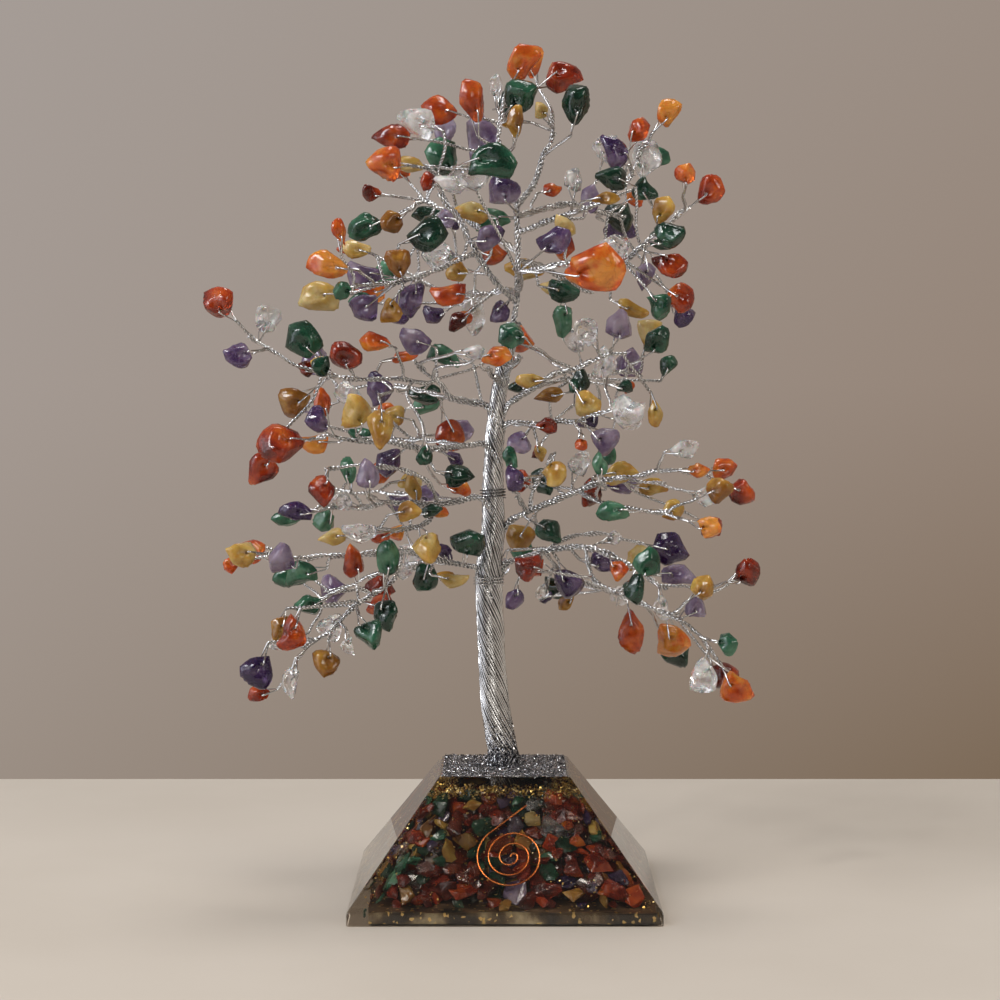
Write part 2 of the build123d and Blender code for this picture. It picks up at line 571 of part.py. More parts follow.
def hang(centre, length, width, flat, upright, root, index, room, body):
    """Turn a stone so that its wire reaches a root, if stone and wire have room."""
    root_spot, root_run, root_radius = root
    pull = unit(centre - root_spot)
    pull = unit(pull * np.array((1, flat_share, 1)))
    along = pull
    if flat:
        along = unit(np.array((math.copysign(1, pull[0]), 0, 0)) + lean_share * pull)
    if upright:
        along = unit(np.array((0, 0, math.copysign(1, pull[2]))) + lean_share * pull)
    tip = centre - along * (length / 2 + twig_lead)
    twig = tip - root_spot
    twig_length = np.linalg.norm(twig)
    if twig_length > longest_twig or twig.dot(along) < least_forward_share * twig_length:
        return None
    run = twig / twig_length
    slant = math.sqrt(max(1 - run.dot(root_run) ** 2, 0))
    if slant < least_slant_share:
        return None
    start = root_spot + run * (root_radius + seat_gap) / slant
    bare = start + run * (twig_radius + wire_gap) / slant
    if (tip - bare).dot(run) < twig_lead:
        return None
    waist = max(length - width, 0) / 2
    if not room.clears(centre - along * waist, centre + along * waist, width / 2, stone_gap, body):
        return None
    if not room.clears(bare, tip, twig_radius, wire_gap, body):
        return None
    tilt = TILT_SHARES[index % len(TILT_SHARES)]
    face = across(np.array((tilt[0], -1, tilt[1])), along)
    return dict(centre=centre, along=along, face=face, length=length, width=width, waist=waist,
                start=start, tip=tip)


def stone_solid(laid):
    """One drilled tumbled stone."""
    thickness = laid["width"] * thickness_share
    along, face = laid["along"], laid["face"]
    beside = np.cross(face, along)
    outline = OUTLINE_SHARES[laid["index"] % len(OUTLINE_SHARES)]
    levels = LEVEL_SHARES[laid["index"] % len(LEVEL_SHARES)]
    rings = [[laid["centre"] + face * (height * thickness / 2)
              + along * ((x * size + shift) * laid["length"] / 2) + beside * (y * size * laid["width"] / 2)
              for x, y in outline] for height, size, shift in levels]
    hole = laid["centre"] - along * (hole_share * laid["length"] / 2)
    with BuildPart() as gem:
        add(skin(rings))
        with Locations(Plane(origin=Vector(*hole), z_dir=Vector(*face))):
            Cylinder(hole_radius, 2 * thickness, mode=Mode.SUBTRACT)
    return gem.part


def wire_solid(laid):
    """The wire of one stone: from the stem through the drilled hole and back beside itself."""
    thickness = laid["width"] * thickness_share
    rise = thickness / 2 + wire + loop_share * thickness
    hole = laid["centre"] - laid["along"] * (hole_share * laid["length"] / 2)
    run = unit(laid["tip"] - laid["start"])
    offset = across(laid["face"], run) * (wire + pair_gap) / 2
    route = [laid["start"] + offset, laid["tip"] + offset, hole + laid["face"] * rise,
             hole - laid["face"] * rise, laid["tip"] - offset, laid["start"] - offset]
    return tube(route, 4, wire / 2, offset)


def grow_bough(name, room):
    """Middle lines and roots of a bough's stems; their room is taken up."""
    body = BODIES.get(name, 0)
    stems, roots, lines = [], [], []
    trunk = [(a, b, None) for a, b in zip(trunk_line[1:], trunk_line[2:])]
    for number, stem_px in enumerate(STEMS[name]):
        radius = stem_radius if number == 0 else spray_radius
        parents = trunk + stems
        line = grow(parents, stem_px[0], stem_px[1:], radius, body, trunk_line[-1])
        lines.append((line, radius))
        bare = line[0] + unit(line[1] - line[0]) * 2 * radius
        for a, b in zip([bare] + line[1:], line[1:]):
            if not room.clears(a, b, radius, seat_gap / 2, body):
                print("stem", name, number, "passes close to another at", np.round(a, 1))
        stems += [(a, b, radius) for a, b in zip(line, line[1:])]
        for a, b in zip(line, line[1:]):
            steps = max(round(np.linalg.norm(b - a) / root_step), 1)
            roots += [(a + (b - a) * (k + 0.5) / steps, unit(b - a), radius) for k in range(steps)]
        roots.pop()
    for a, b, radius in stems:
        room.fill(a, b, radius, body)
    return lines, roots


def trunk_radius_at(level):
    """Radius of the trunk at a level, over the winding where there is one."""
    radius = upper_trunk_radius
    if level < middle_end:
        radius = middle_trunk_radius
    if level < lower_end:
        radius = lower_trunk_radius
    reach = binding_turns * binding_pitch / 2 + stem_radius
    wound = any(abs(level - end + binding_drop) < reach for end in (lower_end, middle_end, upper_end))
    return radius + (binding_gap + wire if wound else 0)


def lay_bough(name, roots, room):
    """Lay a bough's stones, those seen first and then those behind them."""
    body = BODIES.get(name, 0)
    orders = []
    for k, (x, y, wide, high, kind) in enumerate(STONES[name]):
        seen = place(x, y)
        nearest = min(roots, key=lambda root: math.hypot(root[0][0] - seen[0], root[0][2] - seen[2]))
        depth = nearest[0][1] + stone_spread * SPREAD_SHARES[k % len(SPREAD_SHARES)]
        orders.append(((x, y), (wide, high), depth, kind))
    for k in range(0, len(STONES[name]), behind_step):
        x, y, wide, high, _ = STONES[name][k]
        shift = SHIFT_SHARES[(k // behind_step) % len(SHIFT_SHARES)]
        spot = (x + shift[0] * wide, y + shift[1] * high)
        depth = depth_at(BEHIND_SHARES[(k // behind_step) % len(BEHIND_SHARES)], y)
        size = (max(wide, high) * behind_size_share, min(wide, high) * behind_size_share)
        orders.append((spot, size, depth, BEHIND_KINDS[(k // behind_step) % len(BEHIND_KINDS)]))
    laid = []
    for index, (spot, size, depth, kind) in enumerate(orders):
        stone = lay_stone(spot, size, depth, kind, index, roots, room, body)
        if stone is None:
            print("no room for a stone", name, spot, kind)
            continue
        waist = stone["along"] * stone["waist"]
        room.fill(stone["centre"] - waist, stone["centre"] + waist, stone["width"] / 2, body)
        room.fill(stone["start"], stone["tip"], twig_radius, body)
        laid.append(stone)
    return laid


room = Room()
for low, high in zip(trunk_line[1:], trunk_line[2:]):
    room.fill(low, high, trunk_radius_at((low[2] + high[2]) / 2) + wire, 0)
grown = {name: grow_bough(name, room) for name in STEMS}
crown = {name: lay_bough(name, grown[name][1], room) for name in STEMS}
print("stones in the crown", {name: len(stones) for name, stones in crown.items()})
print("stones in all", sum(map(len, crown.values())))


# Base: the faces of the cast block slope at the same angle on all four sides
slope_run = (base_side - base_top_side) / 2
slope_rise = base_height - lip_height
slope_length = math.hypot(slope_run, slope_rise)


def face_plane(side, height, inset, over=0.0):
    """Plane level with a sloping face, at a height up the slope, sunk into the resin by an inset."""
    out = base_side / 2 - slope_run * height / slope_length - inset * slope_rise / slope_length
    level = lip_height + slope_rise * height / slope_length - inset * slope_run / slope_length
    middle = Vector(over, -out, level).rotate(Axis.Z, 90 * side)
    along = Vector(1, 0, 0).rotate(Axis.Z, 90 * side)
    outward = Vector(0, -slope_rise, slope_run).rotate(Axis.Z, 90 * side)
    return Plane(origin=middle, x_dir=along, z_dir=outward)


def half_width(height, inset):
    """Half the width of the block at a height up the slope, at an inset behind the face."""
    return base_side / 2 - slope_run * height / slope_length - inset * slope_rise / slope_length


def laid_on(plane, corners):
    """Corners given on a plane, as points in space."""
    return [np.array(tuple(plane.from_local_coords(Vector(*corner)))) for corner in corners]


def cast_stones():
    """Stones just behind the four sloping faces, as (kind, solid)."""
    inset = resin_skin + cast_thickness / 2
    rows = int((slope_length - cast_row_pitch / 2) // cast_row_pitch)
    found = []
    for side in range(4):
        for row in range(rows):
            height = cast_row_pitch * (row + first_row_share)
            usable = half_width(height, inset) - cast_column_pitch * corner_share
            count = int(2 * usable // cast_column_pitch) + 1
            for column in range(count):
                k = len(found)
                over = cast_column_pitch * (column - (count - 1) / 2)
                plane = face_plane(side, height, inset, over)
                plane = plane.rotated((0, 0, TURN_DEGREES[k % len(TURN_DEGREES)]))
                outline = OUTLINE_SHARES[k % len(OUTLINE_SHARES)]
                levels = LEVEL_SHARES[k % len(LEVEL_SHARES)]
                size = SIZE_SHARES[k % len(SIZE_SHARES)]
                rings = [laid_on(plane, [(size * (x * grow + shift) * cast_length / 2,
                                          size * y * grow * cast_width / 2, level * cast_thickness / 2)
                                         for x, y in outline]) for level, grow, shift in levels]
                found.append((KINDS[CAST_KINDS[k % len(CAST_KINDS)]], skin(rings)))
    return found


def brass_flakes():
    """Thin flakes near the faces, in a band under the top."""
    flakes = []
    for side in range(4):
        for row, row_share in enumerate(FLAKE_ROW_SHARES):
            height = slope_length * row_share
            usable = half_width(height, flake_depth) - flake_pitch
            count = int(2 * usable // flake_pitch) + 1
            for column in range(count):
                k = len(flakes)
                over = flake_pitch * (column - (count - 1) / 2)
                plane = face_plane(side, height, flake_depth, over)
                tilt = FLAKE_TILTS[k % len(FLAKE_TILTS)]
                plane = plane.rotated((0, tilt, TURN_DEGREES[k % len(TURN_DEGREES)]))
                rings = [laid_on(plane, [(x * flake_length / 2, y * flake_width / 2, z * flake_thickness / 2)
                                         for x, y in FLAKE_SHARES]) for z in (-1, 1)]
                flakes.append(skin(rings))
    return flakes


def spiral_route():
    """The copper wire's line on the front face: a tail, then half turns that close in."""
    outer = spiral_width / 2
    step = spiral_pitch / 2
    sides = [outer - step * k for k in range(spiral_half_turns + 1)]
    tail = Vector(spiral_tail_over, spiral_tail_up, 0)
    lean = math.atan2(spiral_tail_up, spiral_tail_over) + math.acos(outer / tail.length)
    touch = Vector(outer * math.cos(lean), outer * math.sin(lean), 0)
    halfway = (lean + math.pi) / 2
    with BuildLine() as line:
        Line(tail, touch)
        ThreePointArc(touch, (outer * math.cos(halfway), outer * math.sin(halfway), 0), (-outer, 0, 0))
        for k, (near, far) in enumerate(zip(sides, sides[1:])):
            way = -1 if k % 2 == 0 else 1
            middle = (way * (near - far) / 2, way * (near + far) / 2, 0)
            ThreePointArc((way * near, 0, 0), middle, (-way * far, 0, 0))
    return line.wires()[0]


spiral_plane = face_plane(0, spiral_up, spiral_depth, spiral_over)
spiral_line = spiral_plane.from_local_coords(spiral_route())
print("least gap of the copper spiral's wire to itself", least_gap(spiral_line, spiral_wire))


def spiral_tube(radius):
    """A round tube along the copper wire's line."""
    with BuildPart() as wound:
        with BuildSketch(Plane(origin=spiral_line @ 0, z_dir=spiral_line % 0)):
            Circle(radius)
        sweep(path=spiral_line)
    return wound.part


copper_spiral = spiral_tube(spiral_wire / 2)
spiral_cavity = spiral_tube(spiral_wire / 2 + spiral_gap)
stones_in_resin = cast_stones()
flakes_in_resin = brass_flakes()

with BuildPart() as resin_base:
    with BuildSketch():
        Rectangle(base_side, base_side)
    extrude(amount=lip_height)
    with BuildSketch(Plane.XY.offset(lip_height)):
        Rectangle(base_side, base_side)
    with BuildSketch(Plane.XY.offset(base_height)):
        Rectangle(base_top_side, base_top_side)
    loft(ruled=True)
    with Locations(Location(Vector(*trunk_line[0]))):
        Cylinder(lower_trunk_radius + socket_gap, trunk_depth_in_resin,
                 align=(Align.CENTER, Align.CENTER, Align.MIN), mode=Mode.SUBTRACT)
    add([solid for _, solid in stones_in_resin] + flakes_in_resin, mode=Mode.SUBTRACT)
    add(spiral_cavity, mode=Mode.SUBTRACT)

bed_hole = lower_trunk_radius + socket_gap
foot = trunk_middle(base_height)
with BuildPart() as glitter_bed:
    with BuildSketch(Plane.XY.offset(base_height)):
        Rectangle(base_top_side - 2 * glitter_margin, base_top_side - 2 * glitter_margin)
        with Locations((foot[0], foot[1])):
            Circle(bed_hole, mode=Mode.SUBTRACT)
    extrude(amount=glitter_thickness)
    chamfer(glitter_bed.faces().sort_by(Axis.Z)[-1].outer_wire().edges(), glitter_chamfer)

collar_bottom = base_height + glitter_thickness
collar_top = collar_bottom + collar_height
with BuildPart() as glitter_collar:
    for level, wall in ((collar_bottom, collar_foot_wall), (collar_top, collar_wall)):
        middle = trunk_middle(level)
        with BuildSketch(Plane.XY.offset(level)):
            with Locations((middle[0], middle[1])):
                Circle(lower_trunk_radius + collar_gap + wall)
    loft()
    for level in (collar_bottom, collar_top):
        middle = trunk_middle(level)
        with BuildSketch(Plane.XY.offset(level)):
            with Locations((middle[0], middle[1])):
                Circle(lower_trunk_radius + collar_gap)
    loft(mode=Mode.SUBTRACT)

# Write the base and the trunk
save("resin_base", resin_base.part.solids())
for kind in sorted(set(KINDS.values())):
    save(f"cast_{kind}", [solid for stone_kind, solid in stones_in_resin if stone_kind == kind])
save("brass_flakes", flakes_in_resin)
save("copper_spiral", copper_spiral.solids())
save("glitter_bed", glitter_bed.part.solids())
save("glitter_collar", glitter_collar.part.solids())
save("lower_trunk", bundle(trunk_levels[0], lower_end, lower_trunk_radius, lay_pitch))
save("middle_trunk", bundle(lower_end + length_gap, middle_end, middle_trunk_radius, upper_lay_pitch))
save("upper_trunk", bundle(middle_end + length_gap, upper_end, upper_trunk_radius, upper_lay_pitch))
save("lower_binding", binding(lower_end - binding_drop, lower_trunk_radius).solids())
save("middle_binding", binding(middle_end - binding_drop, middle_trunk_radius).solids())
save("upper_binding", binding(upper_end - binding_drop, upper_trunk_radius).solids())

# Write the boughs
for name, stones in crown.items():
    stems = [tube(line, 6, radius) for line, radius in grown[name][0]]
    save(f"{name}_wires", stems + [wire_solid(stone) for stone in stones])
    for kind in sorted(set(KINDS.values())):
        save(f"{name}_{kind}", [stone_solid(stone) for stone in stones if KINDS[stone["kind"]] == kind])
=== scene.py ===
# The looks of the gemstone tree ornament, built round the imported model.

import math
import random

import bmesh
import bpy
import numpy as np
from mathutils import Matrix, Vector, noise


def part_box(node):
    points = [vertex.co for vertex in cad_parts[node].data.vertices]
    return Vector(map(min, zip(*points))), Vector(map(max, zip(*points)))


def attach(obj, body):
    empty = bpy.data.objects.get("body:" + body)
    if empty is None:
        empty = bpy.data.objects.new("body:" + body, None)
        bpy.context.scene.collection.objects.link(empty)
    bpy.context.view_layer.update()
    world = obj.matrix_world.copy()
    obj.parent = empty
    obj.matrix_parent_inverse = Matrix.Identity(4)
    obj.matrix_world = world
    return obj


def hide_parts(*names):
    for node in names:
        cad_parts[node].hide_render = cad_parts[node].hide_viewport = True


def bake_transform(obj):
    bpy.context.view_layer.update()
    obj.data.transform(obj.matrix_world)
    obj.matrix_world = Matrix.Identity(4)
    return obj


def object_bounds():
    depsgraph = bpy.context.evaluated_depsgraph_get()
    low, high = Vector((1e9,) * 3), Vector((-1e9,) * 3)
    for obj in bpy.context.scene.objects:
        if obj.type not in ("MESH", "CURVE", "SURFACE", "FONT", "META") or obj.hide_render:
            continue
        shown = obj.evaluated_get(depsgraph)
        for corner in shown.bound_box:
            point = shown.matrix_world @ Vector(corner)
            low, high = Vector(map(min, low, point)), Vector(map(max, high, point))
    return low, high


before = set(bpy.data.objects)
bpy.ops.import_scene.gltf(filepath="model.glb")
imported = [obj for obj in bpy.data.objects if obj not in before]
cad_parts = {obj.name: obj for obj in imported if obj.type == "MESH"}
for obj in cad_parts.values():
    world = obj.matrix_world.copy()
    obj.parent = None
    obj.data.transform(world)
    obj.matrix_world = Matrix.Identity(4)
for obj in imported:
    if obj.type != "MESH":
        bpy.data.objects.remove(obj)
cad_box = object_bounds()
chance = random.Random(7)
lowest, highest = [np.array(corner) for corner in cad_box]

# Sizes in metres
mm = 0.001
box_gap = 0.1 * mm

# Reading the model's solids: distances, how alike two ways are, corners of a wire's rings
merge_distance = 0.002 * mm
face_flatness = 0.02 * mm
same_way = 0.995
level_way = 0.99999
twig_corners = 4
strand_corners = 6
odd_way = (0.31, 0.17, 0.93)

kinds = ("carnelian", "yellow_jasper", "green_aventurine", "amethyst", "clear_quartz")
bough_bodies = {"lower_left": "lower_left_bough", "lower_right": "lower_right_bough"}
boughs = ("lower_left", "lower_right", "mid_left", "mid_right", "upper_left", "upper_right", "top")
trunk_nodes = ("lower_trunk", "middle_trunk", "upper_trunk")
binding_nodes = ("lower_binding", "middle_binding", "upper_binding")

# Crown stones
bead_sides = 22
bead_rows = 14
bead_sharpness = 44
bead_swell = 1.17
bead_unevenness = (-0.3, 0.15)
bead_cuts = 5
cut_shares = (0.58, 0.92)
bead_taper = 0.5
bead_bend = 0.5
bend_middle = 0.25
bead_dents = 0.08
dent_waves = 3
dent_tightness = 2.4
bead_scoops = 2
scoop_depth = 0.3
scoop_width = 0.1
# Painted glow: crown stones' colours are made lighter towards their thin tips
tip_painted_glow = 0.55
tip_middle = 0.75
long_stone = 17 * mm
long_stone_tone = 0.8
hole_edge = 0.5 * mm
hole_sink = 0.95
rim_slack = 1e-4

# Twigs: one wire folded through each stone and twisted back to its stem
twig_wire = 0.29 * mm
twig_coil = 0.32 * mm
twig_pitch = 2.5 * mm
twig_step = 0.35 * mm
twig_run_in = 3.5 * mm
twig_bow = 0.11
twig_bow_shares = (0.2, 1)
twig_tightness = (0.85, 1.2)
twig_points = 9
twig_ease = 3
loop_corner = 1.3 * mm
thin_wire_sides = 4

# Stems: pairs of twisted wires that leave the bundle one by one
pair_wire = 0.29 * mm
pair_coil = 0.33 * mm
pair_pitch = 2.7 * mm
pair_pitch_growth = 0.05
pair_ends = 0.72
bundle_shares = (0, 1.6, 1.9, 2.2)
bundle_thinning = 0.6
bundle_waver = 0.25
bundle_waves = 31
stem_pitch = 17 * mm
stem_step = 0.33 * mm
stem_ease = 110
stem_past_twig = 1.5 * mm
main_pairs = 4
side_pairs = 2
root_drops = (13 * mm, 8.5 * mm, 4 * mm)
root_depths = (1.3 * mm, 0.6 * mm, 0.1 * mm)
root_overlap = 5 * mm
root_reach = 1.2 * mm
bough_inlet = 2 * mm

# Trunk: half its thickness at heights up the tree, read from the photograph
girth_heights = np.array((27, 50, 60, 75, 101, 106, 117, 126, 133, 145, 157, 184)) * mm
girths = np.array((4.7, 4.75, 4.6, 4.4, 4.35, 4.1, 3.7, 3.6, 3.35, 3.1, 2.65, 2.45)) * mm
trunk_wire = 0.36 * mm
trunk_wire_sides = 6
trunk_spacing = 2.4
trunk_pitch = 54 * mm
upper_pitch = 38 * mm
tighter_from = 101 * mm
trunk_step = 2.0 * mm
trunk_layers = (0, 0.7 * mm)
stray = 0.14 * mm
stray_length = 9 * mm
stray_turn = 0.04
stray_turn_length = 13 * mm
spare_sink = 0.6

# Base
lip = 4 * mm
block_edge = 0.4 * mm
bed_margin = 0.8 * mm
chip_tries = 26000
chip_sizes = (2.4 * mm, 6.6 * mm)
chip_packing = 0.5
far_off = 1000 * mm
chip_form = np.array((1.2, 0.9, 0.42))
chip_points = 12
chip_roundness = (0.85, 1)
chip_flatness = math.radians(14)
chip_lean = 0.2
chip_rise = 0.75
chip_cover = 0.5 * mm
chip_edge = 0.25 * mm
# Painted shade for chips cast in the resin: their tones stop short of the lightest colours, and each chip's
# colour is darkened by a share from the range below
chip_brightest = 0.85
carnelian_brightest = 0.5
chip_painted_shades = (0.2, 0.7)
clear_corner = 4.5 * mm
heap_floor = 3 * mm
heap_ceiling = 36.3 * mm
heap_top = 34 * mm
heap_depth = 12 * mm
chip_shares = (0.50, 0.15, 0.13, 0.16, 0.06)
lip_chips = 90
lip_chip_kinds = kinds[:3]
lip_chip_sizes = (1.0 * mm, 2.2 * mm)
lip_chip_heights = (1.1 * mm, 2.8 * mm)
lip_chip_depth = 9 * mm
lip_chip_margin = 1.5
lip_chip_rise = 0.8
flake_count = 4400
flake_lowest = 2 * mm
flake_cover = 1.4 * mm
flake_crowding = 1.5
flake_depth = 5 * mm
flake_band = (34.6 * mm, 37 * mm)
flake_band_share = 0.75
flake_band_depth = 0.35
flake_sizes = (0.13 * mm, 0.42 * mm)
flake_thinness = 0.09
flake_widths = (0.5, 1)
bed_flakes = 9500
bed_inset = 0.3 * mm
bed_tilt = 0.7
collar_flakes = 6000
collar_foot = 5.9 * mm
collar_top = 4.3 * mm
collar_lumps = 0.12 * mm
collar_sides = 48
collar_cuts = 8
collar_sink = 0.2 * mm
collar_heap = (-0.05 * mm, 0.12 * mm)
collar_brightest = 0.8
dusted_height = 4 * mm
dusted_tiers = 4
trunk_press = 0.1 * mm
collar_tilt = 0.5
bed_flake_sizes = (0.1 * mm, 0.27 * mm)
bed_heap = (-0.15 * mm, 0.45 * mm, 0)
sediment_gaps = (6 * mm, 1.4 * mm)
sediment_heights = (0.5 * mm, 3.6 * mm)
sediment_steps = 46
sediment_lumps = 1.0 * mm
sediment_waves = 140

# Camera, set where the photograph was taken from
camera_place = (-1.48 * mm, -787.5 * mm, 171.9 * mm)
camera_tilt = math.radians(86.70)
camera_lens = 89.125
camera_film = 36
nearest_seen = 10 * mm

# Table top and light
table_back = 217 * mm
table_front = -1500 * mm
table_half = 1500 * mm
table_thickness = 30 * mm
table_edge = 2 * mm
lamp_aim = Vector((0, 0, 130 * mm))

# Materials: the stones' clouds in waves a metre, the depth of relief, and how deep light goes
stone_grain = 150
stone_relief = 0.6 * mm
stone_light_depth = 1.6 * mm
quartz_relief = 0.6 * mm
quartz_light_depth = 2 * mm
brass_relief = 0.3 * mm
sediment_relief = 0.6 * mm

# Stones: body colours by their place from dark to light, seam colour, seam share, clearness and glow
stone_looks = {
    "carnelian": (
        ((0.06, (0.10, 0.010, 0.005)), (0.30, (0.34, 0.030, 0.008)), (0.52, (0.58, 0.085, 0.014)),
         (0.72, (0.80, 0.17, 0.018)), (0.94, (0.88, 0.38, 0.06))),
        (0.12, 0.010, 0.005), 0.3, 0.55, 0.3),
    "yellow_jasper": (
        ((0.08, (0.26, 0.10, 0.014)), (0.36, (0.48, 0.25, 0.042)), (0.64, (0.64, 0.42, 0.10)),
         (0.95, (0.74, 0.58, 0.26))),
        (0.26, 0.09, 0.02), 0.2, 0.35, 0.3),
    "green_aventurine": (
        ((0.10, (0.006, 0.022, 0.013)), (0.45, (0.011, 0.052, 0.029)), (0.72, (0.026, 0.115, 0.062)),
         (0.97, (0.10, 0.25, 0.15))),
        (0.05, 0.16, 0.10), 0.2, 0.25, 0.1),
    "amethyst": (
        ((0.08, (0.030, 0.010, 0.066)), (0.36, (0.085, 0.042, 0.14)), (0.62, (0.20, 0.13, 0.25)),
         (0.95, (0.44, 0.36, 0.47))),
        (0.45, 0.38, 0.50), 0.2, 0.55, 0.25),
}

# Lamps: place and width in metres, power and colour
lamps = {
    "key": ((-0.95, -0.75, 1.05), 0.6, 12.2, (0.97, 0.98, 1.0)),
    "spark": ((-0.5, -1.0, 0.9), 0.1, 3, (1.0, 0.98, 0.95)),
    "fill": ((1.1, -0.9, 0.6), 0.5, 4, (1.0, 0.95, 0.88)),
    "top": ((0.1, 0.1, 1.4), 0.5, 5.9, (1.0, 0.98, 0.95)),
}


class Value:
    """A node's output, which takes part in sums."""

    def __init__(self, finish, socket):
        self.finish = finish
        self.socket = socket

    def reckon(self, operation, first, second):
        return self.finish.node("Math", {"operation": operation}, {0: first, 1: second})

    def __add__(self, other):
        return self.reckon("ADD", self, other)

    __radd__ = __add__

    def __sub__(self, other):
        return self.reckon("SUBTRACT", self, other)

    def __rsub__(self, other):
        return self.reckon("SUBTRACT", other, self)

    def __mul__(self, other):
        return self.reckon("MULTIPLY", self, other)

    __rmul__ = __mul__


class Nodes:
    """The nodes of a material or of the world."""

    def __init__(self, owner):
        owner.use_nodes = True
        self.owner = owner
        self.tree = owner.node_tree
        self.tree.nodes.clear()

    def node(self, kind, settings=None, inputs=None, output=0):
        """Adds a node: its settings first, then the values or links of its sockets."""
        made = self.tree.nodes.new("ShaderNode" + kind)
        for name, value in (settings or {}).items():
            if name == "stops":
                self.set_stops(made.color_ramp.elements, value)
            else:
                setattr(made, name, value)
        for name, value in (inputs or {}).items():
            if isinstance(value, Value):
                self.tree.links.new(value.socket, made.inputs[name])
            else:
                made.inputs[name].default_value = value
        return Value(self, made.outputs[output]) if len(made.outputs) else made

    def set_stops(self, elements, stops):
        while len(elements) < len(stops):
            elements.new(1)
        for element, (place, colour) in zip(elements, stops):
            element.position = place
            element.color = (*colour, 1)

    def noise(self, place, scale, detail=2.0, shift=None):
        """Cloudy noise from 0 to 1, its scale in waves a metre, shifted for each stone."""
        inputs = {"Vector": place, "Scale": scale, "Detail": detail}
        if shift is None:
            return self.node("TexNoise", {}, inputs)
        inputs["W"] = shift
        return self.node("TexNoise", {"noise_dimensions": "4D"}, inputs)

    def ramp(self, value, *stops):
        return self.node("ValToRGB", {"stops": stops}, {"Fac": value})

    def blend_colours(self, share, first, second):
        return self.node("Mix", {"data_type": "RGBA"}, {0: share, 6: first, 7: second}, output=2)


class Finish(Nodes):
    """One material, with a principled shader."""

    def __init__(self, name):
        super().__init__(bpy.data.materials.new(name))
        self.place = self.node("TexCoord", output=3)

    def attribute(self, name):
        return self.node("Attribute", {"attribute_name": name}, output=2)

    def scaled(self, vector, share):
        return self.node("VectorMath", {"operation": "SCALE"}, {0: vector, "Scale": share})

    def bump(self, height, depth, strength):
        return self.node("Bump", {}, {"Height": height, "Distance": depth, "Strength": strength})

    def shader(self, **sockets):
        inputs = {name.replace("_", " "): value for name, value in sockets.items()}
        return self.node("BsdfPrincipled", {}, inputs)

    def done(self, shader):
        self.node("OutputMaterial", {"is_active_output": True}, {"Surface": shader})
        return self.owner


def stone_finish(name, stops, seam_colour, seam_share, clearness, glow):
    """Tumbled stone: its colour from stone to stone and cloud to cloud, faint seams and small pits."""
    finish = Finish(name)
    tone = finish.attribute("tone")
    clouds = finish.noise(finish.place, stone_grain, 4.0, tone * 40)
    body = finish.ramp(tone * 0.8 + clouds * 2.0 - 0.9, *stops)
    seams = finish.noise(finish.place, stone_grain * 1.7, 5.0, tone * 17 + 3)
    far = finish.node("Math", {"operation": "ABSOLUTE"}, {0: seams - 0.5})
    on_seam = finish.node("MapRange", {}, {0: far, 1: 0.0, 2: 0.022, 3: seam_share, 4: 0.0})
    veined = finish.blend_colours(on_seam, body, (*seam_colour, 1))
    # Painted light and shade: the light attribute scales the colour, lighter at the thin tips of crown
    # stones and darker for chips cast in the resin
    colour = finish.scaled(veined, finish.attribute("light"))
    waves = finish.noise(finish.place, 360, 2.0, tone * 9)
    pits = finish.noise(finish.place, 1500, 2.0)
    relief = finish.bump(waves + pits * 0.1, stone_relief, 0.7)
    return finish.done(finish.shader(
        Base_Color=colour, Roughness=0.05 + pits * 0.12, Normal=relief, IOR=1.48, Coat_Weight=0.12,
        Coat_Roughness=0.02, Transmission_Weight=clearness, Subsurface_Weight=glow,
        Subsurface_Radius=(1.0, 0.45, 0.2), Subsurface_Scale=stone_light_depth))


def quartz_finish():
    """Clear quartz: a clear body with white veils and small flaws."""
    finish = Finish("clear_quartz")
    tone = finish.attribute("tone")
    clouds = finish.noise(finish.place, 200, 4.0, tone * 31)
    veils = finish.node("MapRange", {}, {0: clouds + tone * 0.15, 1: 0.52, 2: 0.80, 3: 0.03, 4: 0.6})
    waves = finish.noise(finish.place, 240, 1.0, tone * 9)
    relief = finish.bump(waves, quartz_relief, 0.5)
    clear = finish.shader(
        Base_Color=(0.97, 0.97, 0.98, 1), Roughness=0.03, Normal=relief, IOR=1.50,
        Transmission_Weight=1.0)
    # Painted light and shade: the milky veils are scaled by the light attribute too
    milk = finish.scaled((0.8, 0.79, 0.78), finish.attribute("light"))
    white = finish.shader(
        Base_Color=milk, Roughness=0.2, Normal=relief, IOR=1.54,
        Coat_Weight=0.4, Subsurface_Weight=0.3, Subsurface_Scale=quartz_light_depth)
    return finish.done(finish.node("MixShader", {}, {0: veils, 1: clear, 2: white}))


def wire_finish(name, dull, bright):
    """Drawn wire, duller in places."""
    finish = Finish(name)
    stain = finish.noise(finish.place, 120, 3.0)
    colour = finish.ramp(stain, (0.30, (dull, dull, dull)), (0.65, (bright, bright, bright)))
    return finish.done(finish.shader(Base_Color=colour, Metallic=1.0, Roughness=0.05 + stain * 0.12))


def copper_finish():
    finish = Finish("copper")
    stain = finish.noise(finish.place, 160, 3.0)
    colour = finish.ramp(stain, (0.35, (0.78, 0.22, 0.05)), (0.65, (0.95, 0.37, 0.10)))
    return finish.done(finish.shader(Base_Color=colour, Metallic=1.0, Roughness=0.18 + stain * 0.14))


def brass_finish():
    """Thin brass leaf, each flake its own tone and tilt."""
    finish = Finish("brass_flake")
    tone = finish.attribute("tone")
    colour = finish.ramp(tone, (0.0, (0.20, 0.12, 0.03)), (0.5, (0.62, 0.43, 0.12)),
                         (1.0, (0.95, 0.80, 0.42)))
    crumple = finish.noise(finish.place, 1300, 3.0)
    return finish.done(finish.shader(
        Base_Color=colour, Metallic=1.0, Roughness=0.3, Normal=finish.bump(crumple, brass_relief, 0.8)))


